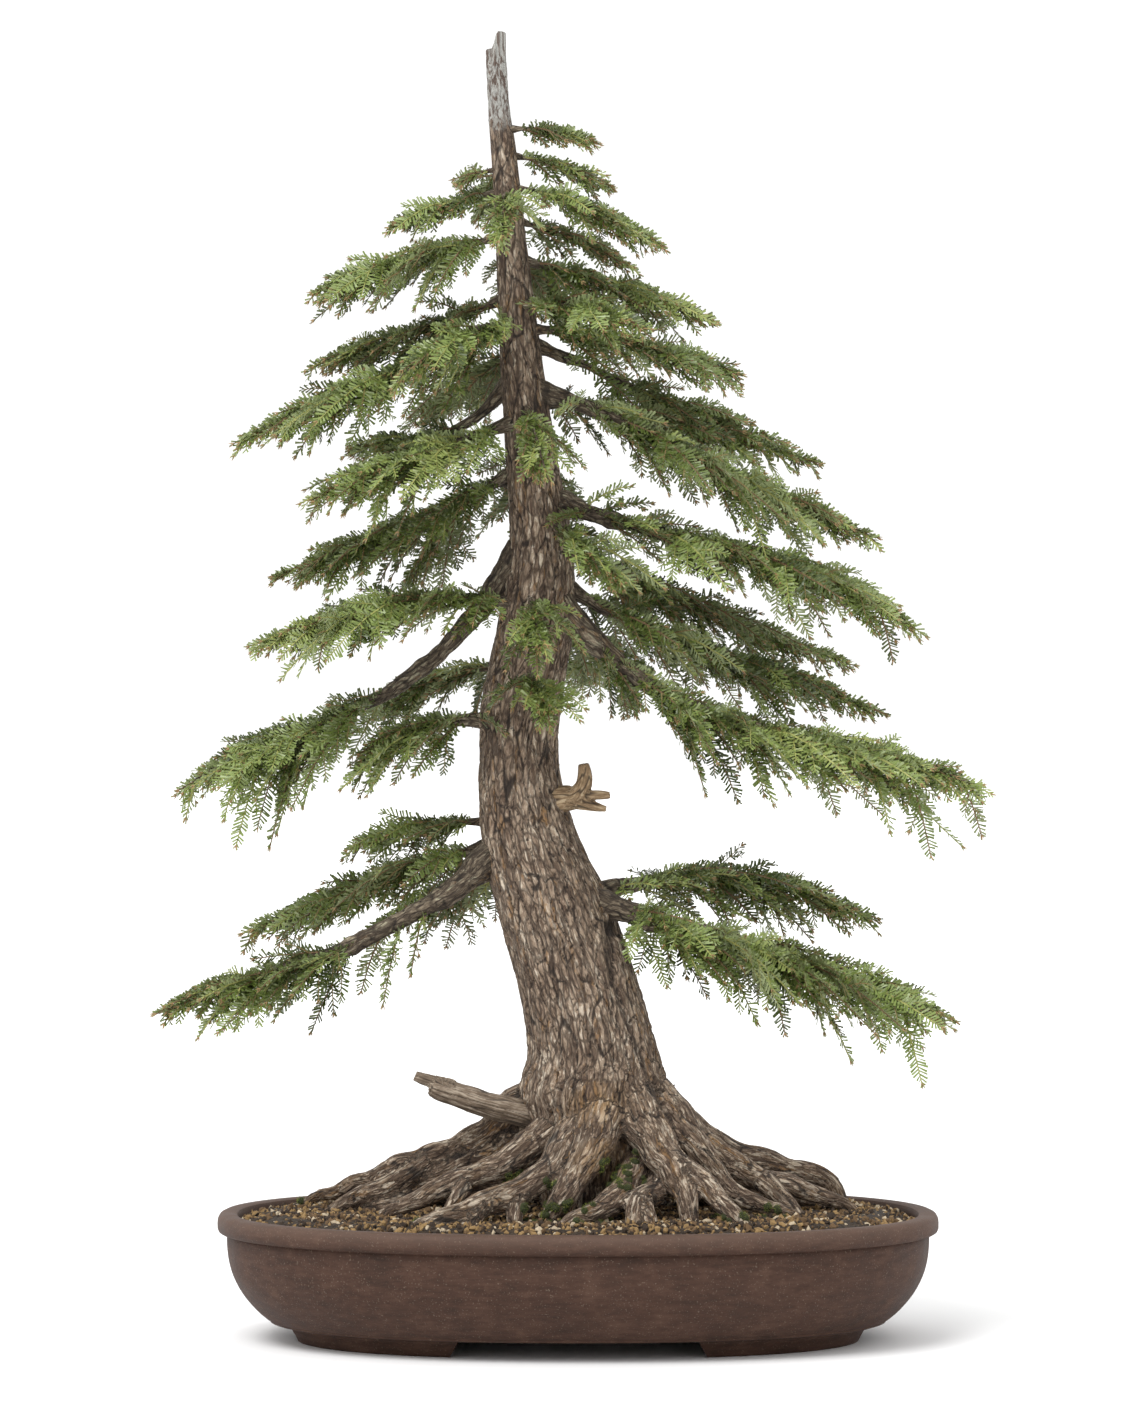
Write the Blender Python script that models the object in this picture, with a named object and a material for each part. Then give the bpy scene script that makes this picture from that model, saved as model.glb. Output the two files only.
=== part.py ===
"""Western hemlock bonsai in an oval stoneware pot, at its real size.

Metres, +Z up, the front faces -Y. The origin is on the table under the middle of the pot.
The trunk leans and curves up from a spread of surface roots to a dead, broken leader.
Bare boughs end where their foliage begins, and each mass of foliage grows on from there.
"""

import math
import random
from collections import namedtuple

import bmesh
import bpy
import numpy as np
from mathutils import Matrix, Vector, kdtree, noise

for old in list(bpy.data.objects):
    bpy.data.objects.remove(old, do_unlink=True)

# Clearance between pieces that touch on the real tree.
GAP = 0.0003

# The pot: half its length and depth over the rim, and its heights above the table.
POT_HALF_LENGTH = 0.2710
POT_HALF_DEPTH = 0.2030
POT_SQUARENESS = 2.25
POT_SEGMENTS = 40
RIM_TOP = 0.0950
LIP_UNDERSIDE = 0.0800
LIP_OVERHANG = 0.0070
LIP_ROUNDING = 0.0035
LIP_WIDTH = 0.0160
BODY_UNDERSIDE = 0.0135
BODY_TUCK = 0.0330
BODY_TUCK_POWER = 2.6
WALL = 0.0105
FLOOR_TOP = 0.0240
FOOT_INSET = 0.0530
FOOT_FLARE = 0.0050
FOOT_WIDTH = 0.0300
FOOT_FRONT_GAP = 0.0940
FOOT_END_GAP = 0.0350
FOOT_SLANT = 0.0070

# The soil, which fills the pot and rises to a level stretch under the roots.
SOIL_EDGE = 0.0880
GROUND = 0.0955
SOIL_SHOULDER = 0.0260

# The trunk's line: height, offset to the right, offset to the back, radius.
TRUNK_LINE = (
    (0.085, 0.0160, 0.012, 0.0420),
    (0.125, 0.0160, 0.008, 0.0450),
    (0.160, 0.0140, 0.002, 0.0530),
    (0.186, 0.0122, 0.000, 0.0570),
    (0.212, 0.0120, 0.001, 0.0500),
    (0.254, 0.0038, 0.003, 0.0467),
    (0.329, -0.0196, 0.008, 0.0437),
    (0.367, -0.0335, 0.010, 0.0388),
    (0.405, -0.0425, 0.012, 0.0335),
    (0.442, -0.0452, 0.013, 0.0302),
    (0.480, -0.0425, 0.013, 0.0312),
    (0.520, -0.0354, 0.012, 0.0294),
    (0.560, -0.0303, 0.010, 0.0276),
    (0.600, -0.0288, 0.007, 0.0236),
    (0.668, -0.0358, 0.002, 0.0192),
    (0.743, -0.0433, -0.003, 0.0156),
    (0.819, -0.0497, -0.006, 0.0120),
    (0.894, -0.0560, -0.008, 0.0096),
    (0.924, -0.0594, -0.008, 0.0084),
    (0.990, -0.0630, -0.008, 0.0075),
)
TRUNK_SIDES = 16
TRUNK_RINGS = 34
BREAK_HIGH = 0.9820
BREAK_LOW = 0.9690

# Long ribs stand out a little all up the trunk and wind slowly round it.
RIB_FOOT = 0.079
RIB_TWIST = 1.1
RIB_SIZE = (0.030, 0.240)
RIB_HEIGHT = 0.0022
RIB_GIRTH = 0.030

# The surface roots that spread to the front and the sides, from inside the trunk's foot out to
# where each enters the soil: x, y, z and half the thickness, in millimetres.
ROOT_LINES = (
    ((-2, 0, 190, 22.5), (-24, 2, 178, 19.5), (-48, 4, 169, 16.5), (-68, 8, 152, 13),
     (-89, 12, 143, 10), (-112, 14, 135, 10), (-134, 18, 127, 9), (-157, 22, 117, 7.5),
     (-180, 28, 109, 6), (-202, 34, 102, 4.5), (-220, 40, 91, 3)),
    ((-113, 10, 131, 9), (-134, 8, 117, 9), (-155, 6, 110, 8.5), (-175, 2, 102, 7),
     (-194, -2, 91, 4)),
    ((9, -10, 188, 21), (-12, -24, 167, 17), (-31, -33, 149, 12.5), (-49, -40, 137, 11),
     (-69, -44, 127, 11), (-89, -47, 122, 9.5), (-107, -49, 113, 9), (-125, -51, 105, 6.5),
     (-146, -54, 95, 4.5)),
    ((-83, -53, 118, 7.5), (-92, -66, 107, 6), (-98, -74, 95, 4.5)),
    ((11, -16, 180, 21), (3, -36, 165, 16.5), (-11, -56, 147, 13.5), (-27, -70, 128, 10.5),
     (-48, -84, 114, 9.5), (-70, -96, 107, 9.5), (-92, -106, 100, 9), (-115, -118, 94, 6),
     (-127, -122, 88, 3.5)),
    ((-40, -80, 118, 6.5), (-46, -90, 105, 6.5), (-48, -97, 93, 6)),
    ((-69, -96, 107, 7.5), (-79, -106, 97, 6.5), (-84, -112, 85, 6)),
    ((21, -10, 196, 22.5), (18, -34, 178, 20), (14, -54, 160, 17), (8, -66, 143, 14),
     (-2, -76, 125, 12), (-13, -84, 110, 9.5), (-22, -89, 98, 6.5)),
    ((44, -36, 136, 9.5), (36, -62, 121, 10.5), (26, -84, 111, 11), (11, -102, 103, 7.5),
     (-6, -114, 98, 6), (-17, -124, 89, 4.5)),
    ((67, -36, 138, 10.5), (59, -66, 118, 9), (46, -88, 110, 9.5), (40, -100, 98, 7.5),
     (37, -106, 86, 5)),
    ((48, -88, 110, 7.5), (52, -102, 98, 6.5), (57, -108, 85, 4.5)),
    ((30, -8, 196, 22.5), (42, -30, 178, 20), (51, -48, 160, 17), (63, -64, 143, 15),
     (76, -78, 126, 12), (81, -90, 109, 9), (83, -100, 87, 6.5)),
    ((76, -72, 133, 11), (90, -80, 123, 10.5), (102, -88, 114, 9), (114, -98, 102, 7.5),
     (131, -110, 85, 4.5)),
    ((32, 0, 195, 22.5), (60, -16, 178, 18), (80, -34, 157, 13.5), (96, -44, 137, 9.5),
     (112, -50, 118, 8), (130, -52, 106, 7.5), (152, -50, 100, 6), (176, -48, 90, 3.5)),
    ((33, 4, 192, 22.5), (62, 0, 171, 19), (89, -4, 147, 15), (115, -6, 128, 12),
     (139, -6, 120, 9), (160, -6, 113, 8.5), (179, -4, 106, 7), (197, -2, 100, 5.5), (217, 2, 90, 3)),
    ((138, -14, 119, 9), (151, -26, 110, 8), (162, -34, 100, 6), (172, -38, 90, 3.5)),
    ((39, 12, 191, 21), (68, 18, 165, 16.5), (93, 22, 148, 13), (121, 28, 134, 11.5),
     (150, 34, 126, 10), (173, 40, 120, 9.5), (191, 46, 111, 8), (204, 52, 97, 5.5),
     (214, 56, 85, 3)),
)

# The surface roots behind: bearing, reach from the middle of the trunk's foot, girth where it
# leaves the trunk, crest height there, and how far it turns on the way.
Root = namedtuple("Root", "bearing reach radius crest sweep")
ROOTS = (
    Root(19, 0.196, 0.0260, 0.157, -4),
    Root(50, 0.150, 0.0180, 0.168, 5),
    Root(84, 0.124, 0.0190, 0.168, -6),
    Root(116, 0.136, 0.0180, 0.168, 6),
    Root(143, 0.176, 0.0170, 0.168, -5),
    Root(165, 0.206, 0.0260, 0.157, 4),
)
ROOT_SIDES = 7
ROOT_STATIONS = 7
ROOT_START = 0.022
ROOT_SLOPE = 0.85
ROOT_TIP_RADIUS = 0.0035

# Dead wood: a snapped branch low on the left, and a forked snag half way up on the right.
LOW_SNAG = (
    (-0.026, -0.008, 0.1650),
    (-0.074, -0.016, 0.1780),
    (-0.115, -0.020, 0.1929),
    (-0.1225, -0.0205, 0.1976),
)
LOW_SNAG_RADII = (0.0110, 0.0094, 0.0074, 0.0038)
FORKED_SNAG = (
    (-0.034, 0.004, 0.402),
    (-0.008, 0.000, 0.408),
    (0.002, -0.002, 0.418),
    (0.005, -0.003, 0.431),
)
FORKED_SNAG_RADII = (0.0125, 0.0115, 0.0080, 0.0045)
SNAG_PRONGS = (
    ((-0.004, -0.001, 0.408), (0.024, -0.004, 0.4075)),
    ((-0.004, -0.002, 0.405), (0.021, -0.007, 0.3985)),
)
PRONG_RADII = (0.0045, 0.0024)
SNAG_SIDES = 8

# The boughs. height is where the bough leaves the trunk's line, bearing its compass direction
# from above (0 right, 90 back, 180 left, 270 front), sweep how far it turns on the way, reach
# how far out it goes, drop its rise or fall, dip how far it hangs under that line a third of the
# way out and rise how far it stands over it at two thirds, bare the share that is bare wood
# (0 where foliage starts on the trunk), radius its girth at the trunk, spread its longest side
# twig, and weep how steeply those side twigs hang.
Bough = namedtuple("Bough", "name height bearing sweep reach drop dip rise bare radius spread weep")
BOUGHS = (
    Bough("right_01", 0.907, 340, 6, 0.076, -0.011, -0.004, 0.002, 0.00, 0.0026, 0.032, 0.87),
    Bough("right_02", 0.890, 12, 6, 0.090, -0.025, -0.002, 0.002, 0.00, 0.0028, 0.034, 0.72),
    Bough("right_03", 0.864, 350, 8, 0.121, -0.046, -0.006, 0.005, 0.00, 0.0032, 0.042, 0.72),
    Bough("right_04", 0.842, 34, -6, 0.111, -0.035, -0.002, 0.002, 0.00, 0.0032, 0.038, 0.72),
    Bough("right_05", 0.813, 4, 6, 0.161, -0.050, -0.000, 0.004, 0.00, 0.0040, 0.050, 0.80),
    Bough("right_06", 0.776, 306, 10, 0.136, -0.025, -0.003, 0.008, 0.00, 0.0038, 0.050, 1.01),
    Bough("right_07", 0.759, 350, 6, 0.173, -0.037, -0.005, 0.004, 0.00, 0.0044, 0.056, 0.87),
    Bough("right_08", 0.751, 32, -8, 0.199, -0.059, -0.001, -0.007, 0.36, 0.0062, 0.052, 0.87),
    Bough("right_09", 0.715, 348, 8, 0.270, -0.115, -0.007, -0.004, 0.24, 0.0086, 0.066, 0.75),
    Bough("right_10", 0.702, 30, -8, 0.248, -0.042, -0.009, 0.006, 0.00, 0.0050, 0.058, 0.75),
    Bough("right_11", 0.638, 352, 2, 0.298, -0.114, 0.006, 0.020, 0.24, 0.0092, 0.074, 0.70),
    Bough("right_12", 0.602, 34, -8, 0.276, -0.097, 0.001, -0.001, 0.00, 0.0056, 0.058, 0.87),
    Bough("right_13", 0.578, 12, 0, 0.274, -0.112, 0.011, 0.003, 0.00, 0.0064, 0.060, 0.87),
    Bough("right_14", 0.573, 344, 2, 0.349, -0.165, 0.045, 0.004, 0.22, 0.0110, 0.082, 1.00),
    Bough("right_15", 0.320, 24, -8, 0.261, -0.013, -0.018, 0.020, 0.22, 0.0080, 0.062, 0.55),
    Bough("right_16", 0.337, 344, 6, 0.313, -0.099, -0.001, 0.008, 0.20, 0.0125, 0.082, 0.80),
    Bough("left_16", 0.879, 196, -8, 0.039, -0.015, -0.001, 0.004, 0.00, 0.0024, 0.024, 0.35),
    Bough("left_01", 0.863, 182, -6, 0.093, -0.030, -0.002, 0.003, 0.00, 0.0028, 0.038, 0.87),
    Bough("left_02", 0.829, 190, -4, 0.154, -0.046, -0.002, 0.003, 0.00, 0.0038, 0.056, 1.15),
    Bough("left_03", 0.786, 168, 6, 0.159, -0.056, 0.003, 0.001, 0.00, 0.0042, 0.054, 0.85),
    Bough("left_04", 0.767, 240, -24, 0.119, -0.062, -0.004, 0.016, 0.00, 0.0040, 0.052, 1.16),
    Bough("left_05", 0.759, 192, -4, 0.219, -0.090, -0.002, 0.004, 0.00, 0.0052, 0.064, 0.94),
    Bough("left_06", 0.735, 158, 4, 0.141, -0.065, 0.025, -0.003, 0.30, 0.0064, 0.046, 0.72),
    Bough("left_07", 0.692, 214, -12, 0.176, -0.066, -0.002, 0.004, 0.00, 0.0056, 0.066, 1.01),
    Bough("left_08", 0.660, 166, 8, 0.201, -0.088, 0.004, -0.003, 0.00, 0.0050, 0.060, 0.87),
    Bough("left_09", 0.622, 146, 6, 0.119, -0.061, -0.036, 0.012, 0.50, 0.0062, 0.052, 1.01),
    Bough("left_10", 0.544, 212, -12, 0.230, -0.026, -0.017, 0.008, 0.00, 0.0056, 0.066, 1.09),
    Bough("left_11", 0.617, 174, 6, 0.277, -0.212, 0.047, 0.001, 0.40, 0.0110, 0.086, 1.00),
    Bough("left_12", 0.456, 206, -20, 0.128, -0.033, -0.013, 0.014, 0.30, 0.0070, 0.056, 0.90),
    Bough("left_13", 0.385, 152, 4, 0.151, -0.020, -0.005, 0.007, 0.00, 0.0046, 0.050, 0.65),
    Bough("left_14", 0.379, 160, 0, 0.239, -0.081, -0.003, 0.004, 0.00, 0.0056, 0.062, 0.65),
    Bough("left_15", 0.389, 192, -3, 0.285, -0.146, 0.025, -0.004, 0.44, 0.0120, 0.072, 0.70),
    Bough("front_01", 0.856, 262, 6, 0.076, -0.036, -0.010, 0.002, 0.00, 0.0028, 0.038, 0.80),
    Bough("front_02", 0.696, 272, 8, 0.090, -0.050, -0.012, 0.004, 0.00, 0.0032, 0.046, 0.85),
    Bough("front_03", 0.610, 304, 8, 0.100, -0.046, -0.010, 0.004, 0.00, 0.0034, 0.048, 0.80),
    Bough("front_04", 0.552, 258, 16, 0.102, -0.034, -0.010, 0.004, 0.00, 0.0034, 0.050, 0.85),
    Bough("front_05", 0.496, 274, 10, 0.084, -0.026, -0.012, 0.002, 0.00, 0.0032, 0.046, 0.80),
    Bough("back_01", 0.876, 94, 10, 0.098, -0.028, -0.006, 0.004, 0.00, 0.0028, 0.040, 0.70),
    Bough("back_02", 0.812, 80, -8, 0.140, -0.040, -0.006, 0.004, 0.00, 0.0036, 0.050, 0.75),
    Bough("back_03", 0.742, 110, 8, 0.166, -0.050, -0.006, 0.004, 0.00, 0.0044, 0.056, 0.75),
    Bough("back_04", 0.664, 94, -8, 0.182, -0.060, -0.006, 0.004, 0.00, 0.0048, 0.060, 0.75),
    Bough("back_05", 0.560, 58, 8, 0.186, -0.088, -0.002, 0.006, 0.00, 0.0052, 0.060, 0.75),
    Bough("back_06", 0.506, 132, 8, 0.166, -0.036, -0.006, 0.006, 0.00, 0.0052, 0.054, 0.65),
    Bough("back_07", 0.366, 112, 24, 0.190, -0.070, -0.004, 0.006, 0.00, 0.0052, 0.056, 0.85),
)

# How a mass of foliage branches. A blade is a side twig with its needles: (share of its
# length, share of its half width) for each tooth and notch along one edge.
LIMB_SIDES = 6
STEM_SIDES = 3
PATH_STEP = 0.024
STEM_TIP_RADIUS = 0.0010
LIMB_TAPER = 0.75
BLADE_PITCH = 0.0165
BLADE_ANGLE_ROOT = 78
BLADE_ANGLE_TIP = 36
BLADE_LIFT = 16
BLADE_SHAPE = 0.27
BLADE_HALF_WIDTH_MIN = 0.0085
BLADE_HALF_WIDTH_MAX = 0.0160
BLADE_THICKNESS = 0.0018
BLADE_ROLL = 40
BLADE_EDGE = ((0.32, 1.00), (0.50, 0.48), (0.72, 0.90))
TIP_BLADE = 0.034
TIP_BLADE_MOST = 0.40
TIP_SUNK = 0.0012
ROOT_REACH = 0.0060
TRUNK_CLEARANCE = 0.0020
LINE_CLEARANCE = 0.0025
BLADE_CLEARANCE = 0.0042
MOST_CLEARANCE = 0.0160
TRIES = ((1.0, 1.0), (1.0, 0.35), (0.75, 0.6), (0.55, 0.4))

TRUNK_FOOT = Vector((TRUNK_LINE[0][1], TRUNK_LINE[0][2], GROUND))


def finish(name, colour, roughness, metallic=0.0):
    """A plain surface of one colour, kept by its name."""
    material = bpy.data.materials.new(name)
    material.use_nodes = True
    shader = material.node_tree.nodes["Principled BSDF"]
    shader.inputs["Base Color"].default_value = (*colour, 1.0)
    shader.inputs["Roughness"].default_value = roughness
    shader.inputs["Metallic"].default_value = metallic
    return material


BARK = finish("bark", (0.165, 0.120, 0.090), 0.90)
DEAD_WOOD = finish("dead_wood", (0.290, 0.225, 0.160), 0.85)
FOLIAGE = finish("foliage", (0.105, 0.165, 0.050), 0.60)
STONEWARE = finish("stoneware", (0.095, 0.055, 0.045), 0.70)
SOIL = finish("soil", (0.130, 0.090, 0.055), 0.95)


def smooth_value(stations, column, height):
    """A column of the stations at that height, on a smooth curve through them."""
    heights = [s[0] for s in stations]
    if height <= heights[0]:
        return stations[0][column]
    if height >= heights[-1]:
        return stations[-1][column]
    i = max(k for k in range(len(heights) - 1) if heights[k] <= height)
    before, after = max(i - 1, 0), min(i + 2, len(heights) - 1)
    span = heights[i + 1] - heights[i]
    slope_in = (stations[i + 1][column] - stations[before][column]) / (heights[i + 1] - heights[before])
    slope_out = (stations[after][column] - stations[i][column]) / (heights[after] - heights[i])
    t = (height - heights[i]) / span
    return (
        (2 * t**3 - 3 * t**2 + 1) * stations[i][column]
        + (t**3 - 2 * t**2 + t) * span * slope_in
        + (3 * t**2 - 2 * t**3) * stations[i + 1][column]
        + (t**3 - t**2) * span * slope_out
    )


def trunk_centre(height):
    return Vector((smooth_value(TRUNK_LINE, 1, height), smooth_value(TRUNK_LINE, 2, height), height))


def trunk_radius(height):
    return smooth_value(TRUNK_LINE, 3, height)


def heading(bearing):
    """The level direction of that bearing."""
    return Vector((math.cos(math.radians(bearing)), math.sin(math.radians(bearing)), 0.0))


def show(name, mesh, material):
    """A new object of that mesh in the scene."""
    obj = bpy.data.objects.new(name, mesh)
    mesh.materials.clear()
    mesh.materials.append(material)
    bpy.context.scene.collection.objects.link(obj)
    return obj


def to_mesh(bm, name):
    """The bmesh as a mesh datablock with its faces pointing out."""
    bmesh.ops.recalc_face_normals(bm, faces=bm.faces)
    mesh = bpy.data.meshes.new(name)
    bm.to_mesh(mesh)
    bm.free()
    return mesh


def loft(bm, rings):
    """Skin through rings of points, with a flat cap at both ends."""
    loops = [[bm.verts.new(p) for p in ring] for ring in rings]
    count = len(loops[0])
    for lower, upper in zip(loops, loops[1:]):
        for k in range(count):
            bm.faces.new((lower[k], lower[(k + 1) % count], upper[(k + 1) % count], upper[k]))
    bm.faces.new(reversed(loops[0]))
    bm.faces.new(loops[-1])


def limb(bm, points, radii, sides, ways=None):
    """A tapered round limb along the points, square to the ways where they are given."""
    rings = []
    side = None
    for i, (point, radius) in enumerate(zip(points, radii)):
        along = (points[min(i + 1, len(points) - 1)] - points[max(i - 1, 0)]).normalized()
        if ways:
            along = ways[i]
        if side is None:
            side = along.cross(Vector((0, 0, 1)) if abs(along.z) < 0.9 else Vector((1, 0, 0)))
        side = (side - along * side.dot(along)).normalized()
        other = along.cross(side)
        turn = [2 * math.pi * k / sides for k in range(sides)]
        rings.append([point + (side * math.cos(a) + other * math.sin(a)) * radius for a in turn])
    loft(bm, rings)


def limb_object(name, points, radii, sides, material, ways=None):
    bm = bmesh.new()
    limb(bm, [Vector(p) for p in points], radii, sides, ways)
    return show(name, to_mesh(bm, name), material)


def apply_modifiers(obj):
    """Fixes the object's modifiers into its mesh."""
    graph = bpy.context.evaluated_depsgraph_get()
    graph.update()
    made = bpy.data.meshes.new_from_object(obj.evaluated_get(graph))
    obj.modifiers.clear()
    obj.data = made


def boolean(obj, operation, others, solver="EXACT"):
    """One Boolean of obj with all the others, which are then removed."""
    group = bpy.data.collections.new("tools")
    bpy.context.scene.collection.children.link(group)
    for other in others:
        bpy.context.scene.collection.objects.unlink(other)
        group.objects.link(other)
    modifier = obj.modifiers.new("join", "BOOLEAN")
    modifier.operation = operation
    modifier.operand_type = "COLLECTION"
    modifier.collection = group
    modifier.solver = solver
    apply_modifiers(obj)
    for other in others:
        bpy.data.objects.remove(other, do_unlink=True)
    bpy.data.collections.remove(group)
    return obj


def keep_largest(obj):
    """Drops every loose scrap of the mesh but its largest body."""
    bm = bmesh.new()
    bm.from_mesh(obj.data)
    left = set(bm.verts)
    bodies = []
    while left:
        body, front = set(), [left.pop()]
        while front:
            vert = front.pop()
            body.add(vert)
            for edge in vert.link_edges:
                other = edge.other_vert(vert)
                if other in left:
                    left.remove(other)
                    front.append(other)
        bodies.append(body)
    bodies.sort(key=len)
    for body in bodies[:-1]:
        bmesh.ops.delete(bm, geom=list(body), context="VERTS")
    bm.to_mesh(obj.data)
    bm.free()
    return obj


def box_object(name, low, high):
    bm = bmesh.new()
    bmesh.ops.create_cube(bm, size=1.0)
    size = Vector(high) - Vector(low)
    bmesh.ops.scale(bm, vec=size, verts=bm.verts)
    bmesh.ops.translate(bm, vec=(Vector(high) + Vector(low)) / 2, verts=bm.verts)
    return show(name, to_mesh(bm, name), STONEWARE)


def oval(inset, height):
    """A level ring of the pot's plan, drawn in from the rim's outline by inset."""
    a, b = POT_HALF_LENGTH - inset, POT_HALF_DEPTH - inset
    power = 2.0 / POT_SQUARENESS
    ring = []
    for k in range(POT_SEGMENTS):
        turn = 2 * math.pi * (k + 0.5) / POT_SEGMENTS
        c, s = math.cos(turn), math.sin(turn)
        ring.append(
            Vector((a * math.copysign(abs(c) ** power, c), b * math.copysign(abs(s) ** power, s), height))
        )
    return ring


def wall_inset(height):
    """How far the pot's outer wall is drawn in at that height: it tucks in towards the feet."""
    up = min(1.0, max(0.0, (height - BODY_UNDERSIDE) / (LIP_UNDERSIDE - BODY_UNDERSIDE)))
    return LIP_OVERHANG + BODY_TUCK * (1.0 - up) ** BODY_TUCK_POWER


def wall_heights(low, high, count):
    return [low + (high - low) * k / (count - 1) for k in range(count)]


def make_pot():
    """An oval bowl with a rolled lip, on four bracket feet cut from one foot ring."""
    outside = [oval(wall_inset(z), z) for z in wall_heights(BODY_UNDERSIDE, LIP_UNDERSIDE, 6)]
    lip = [
        oval(LIP_ROUNDING * 0.3, LIP_UNDERSIDE + LIP_ROUNDING * 0.4),
        oval(0.0, LIP_UNDERSIDE + LIP_ROUNDING * 1.6),
        oval(0.0, RIM_TOP - LIP_ROUNDING * 1.2),
        oval(LIP_ROUNDING, RIM_TOP),
        oval(LIP_WIDTH - LIP_ROUNDING * 0.6, RIM_TOP),
        oval(LIP_WIDTH, RIM_TOP - LIP_ROUNDING),
    ]
    inside = [oval(wall_inset(z) + WALL, z) for z in reversed(wall_heights(FLOOR_TOP, LIP_UNDERSIDE, 3))]
    bm = bmesh.new()
    loft(bm, outside + lip + inside)
    pot = show("pot", to_mesh(bm, "pot"), STONEWARE)

    ring = bmesh.new()
    loft(ring, [oval(FOOT_INSET + FOOT_FLARE, 0.0), oval(FOOT_INSET, BODY_UNDERSIDE + 0.002)])
    foot_ring = show("foot_ring", to_mesh(ring, "foot_ring"), STONEWARE)
    hollow = bmesh.new()
    loft(hollow, [oval(FOOT_INSET + FOOT_WIDTH, -0.01), oval(FOOT_INSET + FOOT_WIDTH, 0.05)])
    cuts = [show("hollow", to_mesh(hollow, "hollow"), STONEWARE)]
    gaps = (
        (FOOT_FRONT_GAP, POT_HALF_DEPTH, Vector((0, 1, 0))),
        (FOOT_END_GAP, POT_HALF_LENGTH, Vector((1, 0, 0))),
    )
    for half_gap, length, along in gaps:
        across = Vector((along.y, along.x, 0))
        corners = ((-1, -1), (1, -1), (1, 1), (-1, 1))
        rings = []
        for z in (-0.01, BODY_UNDERSIDE + 0.006):
            half = half_gap - FOOT_SLANT * z / BODY_UNDERSIDE
            rings.append([across * s * half + along * e * length + Vector((0, 0, z)) for s, e in corners])
        wedge = bmesh.new()
        loft(wedge, rings)
        cuts.append(show("gap", to_mesh(wedge, "gap"), STONEWARE))
    boolean(foot_ring, "DIFFERENCE", cuts)
    return boolean(pot, "UNION", [foot_ring])


def make_soil():
    """Gritty soil that fills the bowl up to the level stretch that the roots stand on."""
    heights = wall_heights(FLOOR_TOP + GAP, LIP_UNDERSIDE, 3)
    rings = [oval(wall_inset(z) + WALL + 1.5 * GAP, z) for z in heights]
    rim_inset = LIP_WIDTH + 1.5 * GAP
    edge = max(rim_inset, wall_inset(LIP_UNDERSIDE) + WALL + 1.5 * GAP)
    rings += [oval(edge, SOIL_EDGE), oval(edge + SOIL_SHOULDER, GROUND)]
    bm = bmesh.new()
    loft(bm, rings)
    return show("soil", to_mesh(bm, "soil"), SOIL)


def rib(height, turn):
    """How far the bark stands out there."""
    radius = trunk_radius(height)
    angle = turn - math.pi / 2 - RIB_TWIST * (height - RIB_FOOT)
    across = Vector((math.cos(angle), math.sin(angle), 0.0)) * radius / RIB_SIZE[0]
    along = Vector((0.0, 0.0, (height - RIB_FOOT) / RIB_SIZE[1]))
    return RIB_HEIGHT * noise.noise(across + along) * min(1.0, radius / RIB_GIRTH) ** 2


def trunk_skin(name, thicker=0.0):
    """The trunk from under the soil to above its break, as one tapering limb."""
    low, high = TRUNK_LINE[0][0], TRUNK_LINE[-1][0]
    rings = []
    for k in range(TRUNK_RINGS):
        z = low + (high - low) * k / (TRUNK_RINGS - 1)
        centre, radius = trunk_centre(z), trunk_radius(z) + thicker
        turns = [2 * math.pi * n / TRUNK_SIDES for n in range(TRUNK_SIDES)]
        rings.append([centre + Vector((math.cos(a), math.sin(a), 0.0)) * (radius + rib(z, a)) for a in turns])
    bm = bmesh.new()
    loft(bm, rings)
    return show(name, to_mesh(bm, name), BARK)


def root_path(root, thicker=0.0):
    """Centre points and radii of a surface root, from inside the trunk's foot to its tip."""
    points, radii = [], []
    for k in range(ROOT_STATIONS):
        t = k / (ROOT_STATIONS - 1)
        out = ROOT_START + (root.reach - ROOT_START) * t
        radius = ROOT_TIP_RADIUS + (root.radius - ROOT_TIP_RADIUS) * (1 - t) ** 0.8
        rise = (root.crest - root.radius - GROUND) * (1 - t) ** ROOT_SLOPE
        place = TRUNK_FOOT + heading(root.bearing + root.sweep * math.sin(2.5 * t)) * out
        points.append(Vector((place.x, place.y, GROUND + rise - radius * 0.5 * t)))
        radii.append(radius + thicker)
    return points, radii


def root_limbs(thicker=0.0):
    """Every surface root, those in front and those behind."""
    paths = []
    for line in ROOT_LINES:
        points = [Vector(p[:3]) / 1000.0 for p in line]
        paths.append((points, [p[3] / 1000.0 + thicker for p in line]))
    paths += [root_path(root, thicker) for root in ROOTS]
    return [limb_object(f"root_{n}", *path, ROOT_SIDES, BARK) for n, path in enumerate(paths)]


def make_trunk():
    """The trunk with its surface roots, cut flat at the ground and broken off at the top."""
    trunk = trunk_skin("trunk")
    boolean(trunk, "UNION", root_limbs())
    below = box_object("below", (-0.4, -0.4, -0.2), (0.4, 0.4, GROUND + GAP))
    boolean(trunk, "DIFFERENCE", [below])
    top = bmesh.new()
    left, right = trunk_centre(BREAK_LOW).x - 0.010, trunk_centre(BREAK_LOW).x + 0.012
    slope = [(left, BREAK_LOW), (left + 0.009, BREAK_LOW + 0.003), (left + 0.012, BREAK_HIGH - 0.003)]
    slope += [(left + 0.0155, BREAK_HIGH), (right, BREAK_HIGH - 0.004), (right, 1.1), (left, 1.1)]
    loft(top, [[Vector((x, y, z)) for x, z in slope] for y in (-0.05, 0.05)])
    return boolean(trunk, "DIFFERENCE", [show("top", to_mesh(top, "top"), BARK)])


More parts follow.
